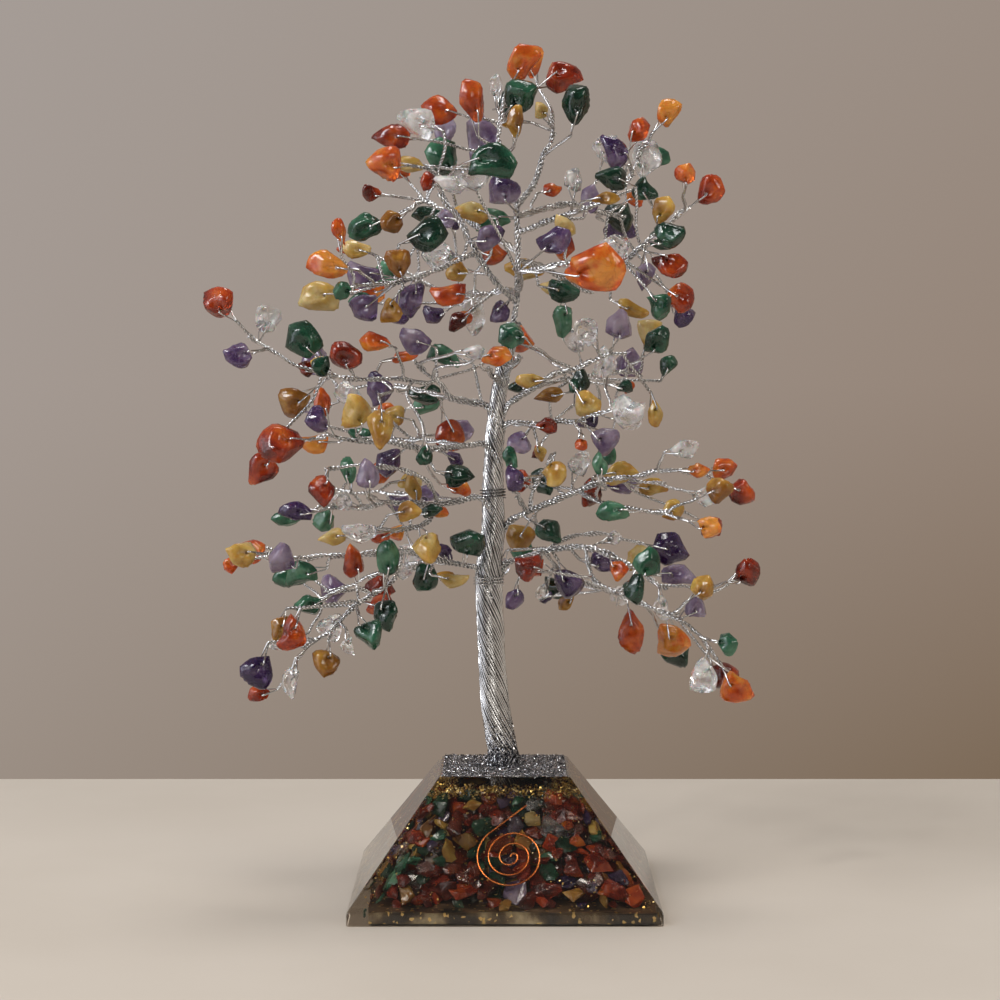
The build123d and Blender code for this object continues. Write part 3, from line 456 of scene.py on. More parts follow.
def glitter_finish():
    """Coarse glitter set in glue: each flake faces its own way and is dark or bright."""
    finish = Finish("glitter")
    cells = finish.node("TexVoronoi", {}, {"Vector": finish.place, "Scale": 3600.0}, output=1)
    facing = finish.node("NewGeometry", output=1)
    tilt = finish.node("VectorMath", {"operation": "SUBTRACT"}, {0: cells, 1: (0.5, 0.5, 0.5)})
    spread = finish.scaled(tilt, 1.5)
    normal = finish.node("VectorMath", {"operation": "ADD"}, {0: facing, 1: spread})
    unit = finish.node("VectorMath", {"operation": "NORMALIZE"}, {0: normal})
    share = finish.node("SeparateColor", {}, {0: cells})
    colour = finish.ramp(share, (0.0, (0.02, 0.02, 0.025)), (0.40, (0.10, 0.10, 0.11)),
                         (0.55, (0.50, 0.50, 0.52)), (1.0, (0.92, 0.92, 0.94)))
    return finish.done(finish.shader(Base_Color=colour, Metallic=0.9, Roughness=0.22, Normal=unit))


def glitter_flake_finish():
    finish = Finish("glitter_flake")
    tone = finish.attribute("tone")
    colour = finish.ramp(tone, (0.0, (0.012, 0.012, 0.015)), (0.44, (0.06, 0.06, 0.07)),
                         (0.54, (0.55, 0.55, 0.57)), (1.0, (0.92, 0.92, 0.94)))
    return finish.done(finish.shader(Base_Color=colour, Metallic=0.95, Roughness=0.16))


def resin_finish():
    """Clear cast resin with a warm tint, which lets light through to what is cast in it."""
    finish = Finish("clear_resin")
    flow = finish.noise(finish.place, 30, 2.0)
    tint = finish.ramp(flow, (0.3, (0.84, 0.77, 0.68)), (0.7, (0.90, 0.85, 0.78)))
    clear = finish.shader(Base_Color=tint, Roughness=0.012, IOR=1.47, Transmission_Weight=1.0)
    open_way = finish.node("BsdfTransparent", {}, {"Color": (0.75, 0.70, 0.64, 1)})
    shaded = finish.node("LightPath", output=1)
    return finish.done(finish.node("MixShader", {}, {0: shaded, 1: clear, 2: open_way}))


def sediment_finish():
    """Resin with metal dust, where the filling settled first: dark on top and patchy at its sides."""
    finish = Finish("sediment")
    lumps = finish.noise(finish.place, 110, 4.0)
    dust = finish.node("TexVoronoi", {}, {"Vector": finish.place, "Scale": 1100.0}, output=1)
    share = finish.node("SeparateColor", {}, {0: dust})
    dark = finish.ramp(lumps, (0.40, (0.010, 0.008, 0.006)), (0.54, (0.07, 0.04, 0.02)),
                       (0.64, (0.13, 0.09, 0.055)))
    patches = finish.ramp(
        finish.noise(finish.place, 95, 6.0), (0.42, (0.012, 0.008, 0.005)), (0.50, (0.06, 0.038, 0.017)),
        (0.58, (0.24, 0.195, 0.115)), (0.70, (0.44, 0.39, 0.28)))
    facing = finish.node("SeparateXYZ", {}, {0: finish.node("NewGeometry", output=1)}, output=2)
    upward = finish.node("MapRange", {}, {0: facing, 1: 0.3, 2: 0.7})
    body = finish.blend_colours(upward, patches, dark)
    bright = finish.node("MapRange", {}, {0: share, 1: 0.92, 2: 0.95, 3: 0.0, 4: 1.0})
    colour = finish.blend_colours(bright, body, (0.75, 0.55, 0.22, 1))
    return finish.done(finish.shader(
        Base_Color=colour, Metallic=bright, Roughness=0.35, Normal=finish.bump(lumps, sediment_relief, 0.7)))


def table_finish():
    finish = Finish("table")
    grain = finish.noise(finish.place, 9, 4.0)
    colour = finish.ramp(grain, (0.3, (0.50, 0.445, 0.385)), (0.7, (0.54, 0.485, 0.425)))
    return finish.done(finish.shader(Base_Color=colour, Roughness=0.55))


stone_finishes = {kind: stone_finish(kind, *looks) for kind, looks in stone_looks.items()}
stone_finishes["clear_quartz"] = quartz_finish()
silver_wire = wire_finish("silver_wire", 0.42, 0.72)
# Near-black wire for the middle binding: partly its own dark colour, partly painted shade
dark_wire = wire_finish("dark_wire", 0.05, 0.14)
brass_flake = brass_finish()
glitter_flake = glitter_flake_finish()


def put_in_scene(name, data):
    thing = bpy.data.objects.new(name, data)
    bpy.context.scene.collection.objects.link(thing)
    return thing


def add_piece(name, mesh, finish, body, replaced=()):
    """Puts a finished mesh in the scene as one piece."""
    piece = put_in_scene(name, mesh)
    mesh.materials.clear()
    mesh.materials.append(finish)
    if replaced:
        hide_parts(*replaced)
    if body:
        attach(piece, body)
    return piece


def to_mesh(shape, name, smooth=True):
    for face in shape.faces:
        face.smooth = smooth
    mesh = bpy.data.meshes.new(name)
    shape.to_mesh(mesh)
    shape.free()
    return mesh


def box_shape(half_sizes, middle):
    """A plain box with its middle at a place."""
    shape = bmesh.new()
    bmesh.ops.create_cube(shape, size=2)
    bmesh.ops.scale(shape, verts=shape.verts, vec=half_sizes)
    bmesh.ops.translate(shape, verts=shape.verts, vec=middle)
    return shape


def round_edges(shape, offset, segments, clamped=False):
    """Wears all edges of a shape."""
    bmesh.ops.bevel(shape, geom=shape.edges[:], offset=offset, segments=segments, profile=0.5,
                    affect="EDGES", clamp_overlap=clamped, material=-1)


def verts_among(parts):
    return [part for part in parts if isinstance(part, bmesh.types.BMVert)]


def faces_among(parts):
    return [part for part in parts if isinstance(part, bmesh.types.BMFace)]


def merged_copy(node):
    """A node of the model as one shape whose faces share their corners."""
    shape = bmesh.new()
    shape.from_mesh(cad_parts[node].data)
    bmesh.ops.remove_doubles(shape, verts=shape.verts, dist=merge_distance)
    return shape


def spread_over(firsts, neighbours):
    """Sorts things into groups that their neighbours join."""
    seen = set()
    groups = []
    for first in firsts:
        if first in seen:
            continue
        seen.add(first)
        group = [first]
        for thing in group:
            for other in neighbours(thing):
                if other not in seen:
                    seen.add(other)
                    group.append(other)
        groups.append(group)
    return groups


def solids_of(shape):
    """The corners of each solid in a shape."""
    return spread_over(shape.verts, lambda vert: [edge.other_vert(vert) for edge in vert.link_edges])


def faces_of(solid):
    """The faces of a solid, each once and in the same order in every run."""
    return list(dict.fromkeys(face for vert in solid for face in vert.link_faces))


def flat_patches(solid):
    """The corners of each flat side of a solid."""

    def level_neighbours(face):
        linked = (other for edge in face.edges for other in edge.link_faces)
        return [other for other in linked if other.normal.dot(face.normal) > level_way]

    patches = spread_over(faces_of(solid), level_neighbours)
    return [{vert for face in patch for vert in face.verts} for patch in patches]


def ring_middles(solid):
    """Middles of a tube's rings from one end to the other, and how many corners a ring has."""
    for cap in reversed(flat_patches(solid)):
        rings = [cap]
        seen = set(cap)
        while True:
            beyond = {edge.other_vert(vert) for vert in rings[-1] for edge in vert.link_edges} - seen
            if not beyond:
                break
            seen |= beyond
            rings.append(beyond)
        if len(rings) > 2 and all(len(ring) == len(cap) for ring in rings):
            return np.array([np.mean([vert.co for vert in ring], axis=0) for ring in rings]), len(cap)
    return None, 0


def tubes_of(node):
    shape = merged_copy(node)
    tubes = [ring_middles(solid) for solid in solids_of(shape)]
    shape.free()
    return tubes


def rise_of(edge):
    return abs(edge.verts[0].co.z - edge.verts[1].co.z)


def unit(vector):
    return vector / np.linalg.norm(vector)


def across(direction):
    """Two directions square to this one and to each other."""
    side = unit(np.cross(direction, odd_way))
    return side, np.cross(direction, side)


def outer_planes(solid):
    """A stone's corners, the normals and places of its outer faces, and the faces of its hole.

    A face of the hole has some of the stone in front of it, and an outer face has none."""
    corners = np.array([vert.co for vert in solid])
    normals = []
    places = []
    walls = []
    for face in sorted(faces_of(solid), key=lambda face: -face.calc_area()):
        normal = np.array(face.normal)
        place = normal @ np.array(face.verts[0].co)
        if (corners @ normal).max() > place + face_flatness:
            walls.append(face)
        elif all(normal @ kept < same_way for kept in normals):
            normals.append(normal)
            places.append(place)
    return corners, np.array(normals), np.array(places), walls


def rounded(directions, normals, distances, sharpness):
    """How far a stone with these faces and worn edges reaches in each direction."""
    nearness = np.maximum(directions @ normals.T, 0) / distances
    return (nearness ** sharpness).sum(axis=1) ** (-1 / sharpness)


def any_way():
    return np.array([chance.gauss(0, 1) for _ in range(3)])


def dents(directions, depth):
    """Shallow hollows and a few scoops, which differ from stone to stone."""
    total = np.zeros(len(directions))
    for _ in range(dent_waves):
        wave = any_way() * dent_tightness
        total += np.sin(directions @ wave + chance.uniform(0, math.tau))
    for _ in range(bead_scoops):
        nearness = np.exp((directions @ unit(any_way()) - 1) / scoop_width)
        total += nearness * chance.uniform(0, scoop_depth) * (2 * dent_waves) / depth
    return 1 - depth * (0.5 + total / (2 * dent_waves))


def set_values(mesh, name, values):
    layer = mesh.attributes.new(name, "FLOAT", "POINT")
    layer.data.foreach_set("value", values.astype(np.float32))


def copies(name, template, places, tones, lights=None, smooth=True):
    """One mesh of many copies of a template, each with its own corners' places and its own tone, and painted
    light at its corners if given.
    """
    shape = bmesh.new()
    for _ in places:
        shape.from_mesh(template)
    mesh = to_mesh(shape, name, smooth)
    mesh.vertices.foreach_set("co", np.concatenate(places).astype(np.float32).ravel())
    set_values(mesh, "tone", np.repeat(tones, len(template.vertices)))
    # Painted light and shade at each corner, which the materials multiply their colours by
    if lights is not None:
        set_values(mesh, "light", lights)
    mesh.update()
    return mesh


def corners_of(mesh):
    return np.array([vert.co for vert in mesh.vertices])


def make_bead():
    """A ball with a hole through its poles."""
    bead = bmesh.new()
    bmesh.ops.create_uvsphere(bead, u_segments=bead_sides, v_segments=bead_rows, radius=1)
    poles = [vert for vert in bead.verts if len(vert.link_edges) == bead_sides]
    bmesh.ops.delete(bead, geom=poles, context="VERTS")
    bmesh.ops.bridge_loops(bead, edges=[edge for edge in bead.edges if edge.is_boundary])
    bmesh.ops.recalc_face_normals(bead, faces=bead.faces)
    return to_mesh(bead, "bead")


def hole_line(walls):
    """The middle of a stone's hole, and the way it runs, square to its walls."""
    normals = np.array([face.normal for face in walls])
    areas = np.array([face.calc_area() for face in walls])
    hole = np.average([face.calc_center_median() for face in walls], axis=0, weights=areas)
    return hole, np.linalg.eigh(normals.T @ (normals * areas[:, None]))[1][:, 0]


def bead_corners(ball, solid):
    """Places of the corners of one drilled crown stone, from the faces of its solid."""
    corners, normals, places, walls = outer_planes(solid)
    hole, axis = hole_line(walls)
    along = corners.mean(axis=0) - hole
    along = unit(along - axis * (along @ axis))
    turn = np.array((along, np.cross(axis, along), axis))
    low = (corners @ turn.T).min(axis=0)
    high = (corners @ turn.T).max(axis=0)
    middle = (low + high) / 2 @ turn

    # Its own faces, set in or out, and worn flats at shares of its reach
    uneven = np.array([chance.uniform(*bead_unevenness) for _ in places])
    cuts = np.array([unit(any_way()) for _ in range(bead_cuts)])
    spans = ((corners - middle) @ cuts.T).max(axis=0)
    shares = np.array([chance.uniform(*cut_shares) for _ in cuts])
    distances = np.concatenate(((places - normals @ middle) * (1 + uneven), spans * shares))
    normals = np.vstack((normals, cuts))

    # Rounded and dented, with a taper and a bend along its length
    directions = ball * (high - low) @ turn
    directions /= np.linalg.norm(directions, axis=1)[:, None]
    reach = rounded(directions, normals, distances, bead_sharpness) * bead_swell
    shaped = directions * (reach * dents(directions, bead_dents))[:, None] @ turn.T
    way = shaped[:, 0] / np.abs(shaped[:, 0]).max()
    half_width = np.abs(shaped[:, 1]).max()
    shaped[:, 1] *= 1 + chance.uniform(-bead_taper, bead_taper) * way
    shaped[:, 1] += chance.uniform(-bead_bend, bead_bend) * half_width * (way ** 2 - bend_middle)
    surface = middle + shaped @ turn

    # The rims of the ball's hole go to the mouths of the stone's
    rim = np.abs(ball[:, 2]).max() - rim_slack
    for sense in (-1, 1):
        mouth = unit(hole + axis * sense * (high - low)[2] / 2 - middle)
        top = rounded(mouth[None], normals, distances, bead_sharpness)[0] * (mouth @ axis)
        height = top * hole_sink + (middle - hole) @ axis
        on_rim = ball[:, 2] * sense > rim
        flat = ball[on_rim][:, :2]
        flat = flat / np.linalg.norm(flat, axis=1)[:, None] * hole_edge
        surface[on_rim] = hole + axis * height + flat @ turn[:2]
    return np.clip(surface, lowest + box_gap, highest - box_gap)


def painted_glow_at_tips(place):
    """Painted glow: how much lighter a stone's colour is made at each corner, more towards its thin tips,
    where the real stone lets light through.
    """
    far = np.linalg.norm(place - place.mean(axis=0), axis=1)
    return 1 + (far / far.max() - tip_middle) * tip_painted_glow


def make_crown_stones():
    bead = make_bead()
    ball = corners_of(bead)
    for bough in boughs:
        for kind in kinds:
            node = bough + "_" + kind
            source = merged_copy(node)
            places = [bead_corners(ball, solid) for solid in solids_of(source)]
            source.free()
            spans = [np.ptp(place, axis=0).max() for place in places]
            tones = [long_stone_tone if span > long_stone else chance.random() for span in spans]
            # Painted glow at each corner, lighter towards the stone's tips
            lights = np.concatenate([painted_glow_at_tips(place) for place in places])
            mesh = copies(node + "_stones", bead, places, tones, lights)
            body = bough_bodies.get(bough, "tree")
            add_piece(node + "_stones", mesh, stone_finishes[kind], body, (node,))


def wire_mesh(name, lines, radius, sides):
    """Round wires that follow lists of points, as one mesh."""
    curve = bpy.data.curves.new(name, "CURVE")
    curve.dimensions = "3D"
    curve.bevel_depth = radius
    curve.bevel_resolution = sides // 2 - 2
    curve.use_fill_caps = True
    for points in lines:
        line = curve.splines.new("POLY")
        line.points.add(len(points) - 1)
        line.points.foreach_set("co", np.column_stack((points, np.ones(len(points)))).ravel())
        line.use_smooth = True
    holder = bpy.data.objects.new(name, curve)
    mesh = bpy.data.meshes.new_from_object(holder)
    bpy.data.objects.remove(holder)
    mesh.name = name
    return mesh


def joined(meshes, name):
    shape = bmesh.new()
    for mesh in meshes:
        shape.from_mesh(mesh)
    return to_mesh(shape, name)


def even_points(points, step):
    """The same line in even steps."""
    points = np.array(points)
    lengths = np.linalg.norm(np.diff(points, axis=0), axis=1)
    ways = np.concatenate(((0,), np.cumsum(lengths)))
    places = np.linspace(0, ways[-1], max(int(ways[-1] / step), 3) + 1)
    return np.column_stack([np.interp(places, ways, points[:, i]) for i in range(3)])


def eased(points, times):
    """The same points with their corners eased, the ends kept."""
    points = points.copy()
    for _ in range(times):
        points[1:-1] = points[1:-1] * 0.5 + (points[:-2] + points[2:]) * 0.25
    return points


def carried_sides(points, side):
    """Two directions square to a line at each point, which turn no more than they must."""
    along = np.gradient(points, axis=0)
    along /= np.linalg.norm(along, axis=1)[:, None]
    sides = []
    for direction in along:
        side = unit(side - direction * (side @ direction))
        sides.append(side)
    return np.array(sides), np.cross(along, sides)


def wound(points, coil, pitch, phase, step, side=None):
    """A wire wound round a line, in phase at its last point."""
    if side is None:
        side = across(points[-1] - points[-2])[0]
    first, second = carried_sides(points[::-1], side)
    angle = phase + np.arange(len(points)) * step / pitch * math.tau
    swing = first * np.cos(angle)[:, None] + second * np.sin(angle)[:, None]
    return points + (swing * np.array(coil).reshape(-1, 1))[::-1]


def corner_points(before, corner, after):
    """Three points that round a corner of a wire."""
    reach = min(loop_corner, np.linalg.norm(before - corner) / 2, np.linalg.norm(after - corner) / 2)
    first = corner + unit(before - corner) * reach
    last = corner + unit(after - corner) * reach
    return [first, (first + last) / 4 + corner / 2, last]


def nearest_on(stems, place):
    """The stem nearest to a place, and its nearest point's number."""
    ways = [np.linalg.norm(stem - place, axis=1) for stem in stems]
    number = min(range(len(stems)), key=lambda i: ways[i].min())
    return number, int(ways[number].argmin())


def twig_line(rings, stem, spot):
    """One wire: it leaves the stem twisted with itself, and loops through its stone's hole."""
    first, parting, mouth, other_mouth, meeting, last = rings
    start = (first + last) / 2
    tip = (parting + meeting) / 2
    opening = parting - tip
    inside = stem[max(spot - round(twig_run_in / stem_step), 0)]
    ways = np.linspace(0, 1, twig_points)[1:-1]
    lean = chance.uniform(0, math.tau)
    side, other = across(tip - start)
    bow = (side * math.cos(lean) + other * math.sin(lean)) * np.linalg.norm(tip - start) * twig_bow
    bow = bow * chance.uniform(*twig_bow_shares)
    swing = np.sin(ways * math.tau) + np.sin(ways * math.pi)
    middle = start + np.outer(ways, tip - start) + np.outer(swing, bow)
    points = [inside, (stem[spot] + start) / 2, *middle, tip]
    line = eased(even_points(points, twig_step), twig_ease)
    pitch = twig_pitch * chance.uniform(*twig_tightness)
    there = wound(line, twig_coil, pitch, 0, twig_step, opening)
    back = wound(line, twig_coil, pitch, math.pi, twig_step, opening)[::-1]
    loop = [there[-1], mouth, other_mouth, back[0]]
    turns = [corner_points(*loop[i:i + 3]) for i in range(2)]
    return np.vstack((there, turns[0], turns[1], back))


def stem_wires(line, pairs):
    """Pairs of twisted wires round a stem's line; all but one end on the way, as twigs leave it."""
    hand = chance.choice((-1, 1))
    wires = []
    for i in range(pairs):
        last = len(line) - 1 - round((len(line) - 1) * pair_ends * i / pairs)
        part = line[:last + 1]
        spread = pair_coil * bundle_shares[pairs - 1]
        ways = np.arange(len(part)) / len(line)
        waver = 1 + bundle_waver * np.sin(ways * bundle_waves + i * 2)
        coil = spread * (1 - bundle_thinning * ways) * waver
        phase = i * math.tau / pairs
        side = across(line[0] - line[1])[0]
        middle = wound(part[::-1], coil[::-1], stem_pitch * hand, phase, stem_step, side)
        pitch = pair_pitch * (1 + pair_pitch_growth * i)
        for turn in (0, math.pi):
            wires.append(wound(middle, pair_coil, pitch, turn, stem_step))
    return wires


def trunk_middle():
    """The trunk's middle line, from the middles of its strands."""
    points = []
    for node in trunk_nodes:
        strands = [rings if rings[0][2] < rings[-1][2] else rings[::-1]
                   for rings, corners in tubes_of(node) if corners == strand_corners]
        points.extend(np.mean(strands, axis=0))
    return np.array(points)


middle_points = trunk_middle()


def middle_at(heights):
    """Where the trunk's middle line is at each height."""
    level = [np.interp(heights, middle_points[:, 2], middle_points[:, i]) for i in (0, 1)]
    return np.column_stack(level + [heights])


def middle_at_one(height):
    return middle_at(np.array((height,)))[0]


def lay_at(heights):
    """How far round the trunk's wires have turned at each height, clockwise going up."""
    tighter_stretch = middle_points[-1][2] - tighter_from
    share = np.clip((heights - tighter_from) / tighter_stretch, 0, 1)
    pitch = trunk_pitch + (upper_pitch - trunk_pitch) * share
    return -heights / pitch * math.tau


def trunk_wires():
    """The trunk's wires, in two layers. Where it narrows, those that find no room sink in and end."""
    heights = np.arange(middle_points[0][2], middle_points[-1][2], trunk_step)
    middles = middle_at(heights)
    girth = np.interp(heights, girth_heights, girths)
    wires = []
    for layer in trunk_layers:
        coil = girth - trunk_wire - layer
        counts = math.tau * coil / (trunk_wire * trunk_spacing)
        for i in range(int(counts.max())):
            phase = chance.uniform(0, math.tau)
            angle = i * math.tau / counts + lay_at(heights) + layer / trunk_wire
            angle = angle + stray_turn * np.sin(heights / stray_turn_length + phase)
            out = coil + stray * np.sin(heights / stray_length + phase * 3)
            sunk = np.clip((i + 1.5 - counts) * spare_sink, 0, 2) * trunk_wire
            out = out - sunk
            place = middles + np.column_stack((np.cos(angle) * out, np.sin(angle) * out, np.zeros(len(out))))
            kept = place[counts > i - 2]
            if len(kept) > 3:
                wires.append(kept)
    return wires


def root_points(start):
    """Where a bough's wires run in the trunk before they leave it."""
    middle = middle_at_one(start[2])
    angle = math.atan2(start[1] - middle[1], start[0] - middle[0])
    points = []
    for drop, depth in zip(root_drops, root_depths):
        height = start[2] - drop
        turned = angle + (lay_at(height) - lay_at(start[2]))
        out = np.interp(height, girth_heights, girths) - depth
        points.append(middle_at_one(height) + np.array((math.cos(turned), math.sin(turned), 0)) * out)
    return points


def off_axis(point):
    """How far a point is from the trunk's middle line."""
    middle = middle_at_one(point[2])
    return math.hypot(point[0] - middle[0], point[1] - middle[1])


def nearest_other(point, others):
    """The point of other stems' middle lines nearest to a point."""
    lines = np.vstack([even_points(rings, stem_step) for rings in others])
    return lines[np.linalg.norm(lines - point, axis=1).argmin()]


def make_boughs():
    """The stems and twigs of each bough, as twisted wires that run on into what they grow from."""
    for bough in boughs:
        node = bough + "_wires"
        body = bough_bodies.get(bough, "tree")
        tubes = tubes_of(node)
        twigs = [rings for rings, corners in tubes if corners == twig_corners]
        stems = [rings if off_axis(rings[0]) < off_axis(rings[-1]) else rings[::-1]
                 for rings, corners in tubes if corners != twig_corners]
        lines = []
        counts = []
        for rings in stems:
            main = off_axis(rings[0]) < girths[0] + root_reach
            others = [other for other in stems if other is not rings]
            if main and body == "tree" and rings[0][2] < middle_points[-1][2]:
                points = root_points(rings[0]) + list(rings)
            elif main:
                inward = unit(rings[0] - rings[1])
                points = [rings[0] + inward * bough_inlet, *rings]
            else:
                points = [nearest_other(rings[0], others), *rings]
            if main and body != "tree":
                make_root(bough, rings)
            lines.append(eased(even_points(points, stem_step), stem_ease))
            counts.append(main_pairs if main else side_pairs)
        spots = [nearest_on(lines, (rings[0] + rings[-1]) / 2) for rings in twigs]
        wires = []
        for i, line in enumerate(lines):
            reached = max([spot for number, spot in spots if number == i], default=len(line))
            wires.extend(stem_wires(line[:reached + round(stem_past_twig / stem_step)], counts[i]))
        folded = [twig_line(rings, lines[number], spot) for rings, (number, spot) in zip(twigs, spots)]
        name = bough + "_twisted_wires"
        stem_mesh = wire_mesh(bough + "_stem", wires, pair_wire, thin_wire_sides)
        twig_mesh = wire_mesh(bough + "_twig", folded, twig_wire, thin_wire_sides)
        add_piece(name, joined((stem_mesh, twig_mesh), name), silver_wire, body, (node,))


def make_root(bough, rings):
    """The wires between the trunk and a bough that can be bent down."""
    ahead = unit(rings[1] - rings[0])
    points = root_points(rings[0]) + [rings[0], rings[0] + ahead * root_overlap]
    line = eased(even_points(points, stem_step), stem_ease)
    name = bough + "_root"
    mesh = wire_mesh(name, stem_wires(line, main_pairs), pair_wire, thin_wire_sides)
    piece = add_piece(name, joined((mesh,), name), silver_wire, None)
    tuple(rings[0] - ahead * root_overlap / 2)
    tuple(rings[0] + ahead * root_overlap)
    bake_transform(piece)


def make_trunk():
    name = "trunk_twisted_wires"
    mesh = joined((wire_mesh("trunk", trunk_wires(), trunk_wire, trunk_wire_sides),), name)
    add_piece(name, mesh, silver_wire, "tree", trunk_nodes)


block_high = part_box("resin_base")[1]
bed_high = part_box("glitter_bed")[1]
collar_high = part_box("glitter_collar")[1]
half_foot = block_high.x
half_top = bed_high.x + bed_margin
face_slope = (half_foot - half_top) / (block_high.z - lip)


def half_at(height):
    """Half the block's width at a height."""
    rise = (height - lip) / (block_high.z - lip)
    return half_foot - (half_foot - half_top) * max(rise, 0)


def make_block():
    """The cast resin: a short upright lip and four sloping faces to a flat top."""
    shape = bmesh.new()
    bmesh.ops.create_grid(shape, x_segments=1, y_segments=1, size=half_foot)
    tiers = ((lip, 1), (block_high.z, half_top / half_foot))
    faces = shape.faces[:]
    reached = 0
    for height, share in tiers:
        grown = bmesh.ops.extrude_face_region(shape, geom=faces)["geom"]
        verts = verts_among(grown)
        bmesh.ops.translate(shape, verts=verts, vec=(0, 0, height - reached))
        bmesh.ops.scale(shape, verts=verts, vec=(share, share, 1))
        if reached:
            bmesh.ops.delete(shape, geom=faces, context="FACES_ONLY")
        faces = faces_among(grown)
        reached = height
    bmesh.ops.recalc_face_normals(shape, faces=shape.faces)
    round_edges(shape, block_edge, 2)
    add_piece("resin_block", to_mesh(shape, "resin_block", False), resin_finish(), "tree",
              ("resin_base",))


def broken_chip(place, size, facing):
    """A chip with flat broken faces: the hull of a few points on a long flat ball that faces a way."""
    chip = bmesh.new()
    lean = Vector(facing) + Vector(any_way()) * chip_lean
    roll = Matrix.Rotation(chance.uniform(0, math.tau), 3, "Z")
    turn = lean.to_track_quat("Z", "Y").to_matrix() @ roll
    for _ in range(chip_points):
        point = unit(any_way()) * chip_form * size * chance.uniform(*chip_roundness)
        corner = turn @ Vector(point) + Vector(place)
        corner.z = max(corner.z, chip_cover)
        chip.verts.new(corner)
    hull = bmesh.ops.convex_hull(chip, input=chip.verts)
    bmesh.ops.delete(chip, geom=verts_among(hull["geom_interior"]), context="VERTS")
    bmesh.ops.dissolve_limit(chip, angle_limit=chip_flatness, verts=chip.verts, edges=chip.edges)
    bmesh.ops.recalc_face_normals(chip, faces=chip.faces)
    round_edges(chip, chip_edge, 1, True)
    return to_mesh(chip, "chip", False)


def room_round(place):
    """Level room from a place in the casting to the two nearest faces, and how the nearer one faces."""
    # Clear resin is left low down on the left
    clear = clear_corner * max(1 - place[2] / heap_top, 0) if place[0] < 0 else 0
    rooms = half_at(place[2]) - chip_cover - np.abs(place[:2]) - np.array((clear, 0))
    nearest = int(rooms.argmin())
    facing = np.array((0, 0, face_slope))
    facing[nearest] = math.copysign(1, place[nearest])
    return rooms[nearest], rooms[1 - nearest], unit(facing)


def largest_chip(place):
    """The largest chip that fits flat against the nearest face at a place, and the way it faces."""
    room, beside, facing = room_round(place)
    apart = room / math.hypot(1, face_slope)
    deep = apart / (chip_form[2] + chip_lean * chip_form[0])
    level = min(place[2] - heap_floor, heap_ceiling - place[2])
    return min(deep, max(beside, 0) / chip_form[0], level / chip_rise), facing


def turned_to_side(spot):
    """The same spot, turned to one of the block's four sides."""
    spot.rotate(Matrix.Rotation(chance.randrange(4) * math.tau / 4, 3, "Z"))
    return spot


def lip_spots():
    """Small chips that lie in the lip, along its four sides."""
    spots = []
    for _ in range(lip_chips):
        height = chance.uniform(*lip_chip_heights)
        out = half_foot - lip_chip_margin * lip_chip_sizes[1] - chance.uniform(0, lip_chip_depth)
        spot = turned_to_side(Vector((chance.uniform(-out, out), -out, height)))
        size = min(chance.uniform(*lip_chip_sizes), height / lip_chip_rise)
        spots.append((chance.choice(lip_chip_kinds), np.array(spot), size))
    return spots


def make_heap():
    """The chips cast in the resin, the model's own and more between them."""
    spots = []
    for kind in kinds:
        shape = merged_copy("cast_" + kind)
        for solid in solids_of(shape):
            corners = np.array([vert.co for vert in solid])
            place = corners.mean(axis=0)
            size = min(np.ptp(corners, axis=0).max() / 2, largest_chip(place)[0])
            spots.append((kind, place, size))
        shape.free()

    # Large chips find their places first, and smaller ones fill the gaps
    places = np.full((len(spots) + chip_tries, 3), far_off)
    sizes = np.zeros(len(places))
    for i, (_, place, size) in enumerate(spots):
        places[i] = place
        sizes[i] = size
    for i in range(chip_tries):
        height = chance.uniform(heap_floor, heap_top)
        room = half_at(height) - chip_cover
        place = np.array((chance.uniform(-room, room), chance.uniform(-room, room), height))
        wanted = chip_sizes[1] + (chip_sizes[0] - chip_sizes[1]) * i / chip_tries
        if room_round(place)[0] > heap_depth or largest_chip(place)[0] < wanted:
            continue
        apart = np.linalg.norm(places - place, axis=1) - (sizes + wanted) * chip_packing
        if apart.min() > 0:
            places[len(spots)] = place
            sizes[len(spots)] = wanted
            spots.append((chance.choices(kinds, chip_shares)[0], place, wanted))
    spots.extend(lip_spots())

    for kind in kinds:
        heap = bmesh.new()
        tones = []
        lights = []
        alike = [spot for spot in spots if spot[0] == kind and spot[2] > lip_chip_sizes[0]]
        for _, place, size in alike:
            chip = broken_chip(place, size, largest_chip(place)[1])
            heap.from_mesh(chip)
            # Painted shade: each chip gets a tone below the lightest and a darkening share, for the dim
            # light inside the resin, different from chip to chip
            brightest = carnelian_brightest if kind == "carnelian" else chip_brightest
            tones += [chance.uniform(0, brightest)] * len(chip.vertices)
            lights += [chance.uniform(*chip_painted_shades)] * len(chip.vertices)
        name = "cast_" + kind + "_heap"
        mesh = to_mesh(heap, name, False)
        set_values(mesh, "tone", np.array(tones))
        set_values(mesh, "light", np.array(lights))
        add_piece(name, mesh, stone_finishes[kind], "tree", ("cast_" + kind,))


def make_flake():
    template = bmesh.new()
    bmesh.ops.create_cube(template, size=2)
    return to_mesh(template, "flake", False)


def flake_corners(block, place, facing, sizes):
    """Places of the corners of one thin flake that faces a way."""
    size = chance.uniform(*sizes)
    roll = Matrix.Rotation(chance.uniform(0, math.tau), 3, "Z")
    turn = Vector(facing).to_track_quat("Z", "Y").to_matrix() @ roll
    flat = block * (size, size * chance.uniform(*flake_widths), size * flake_thinness)
    return np.array(place) + flat @ np.array(turn).T


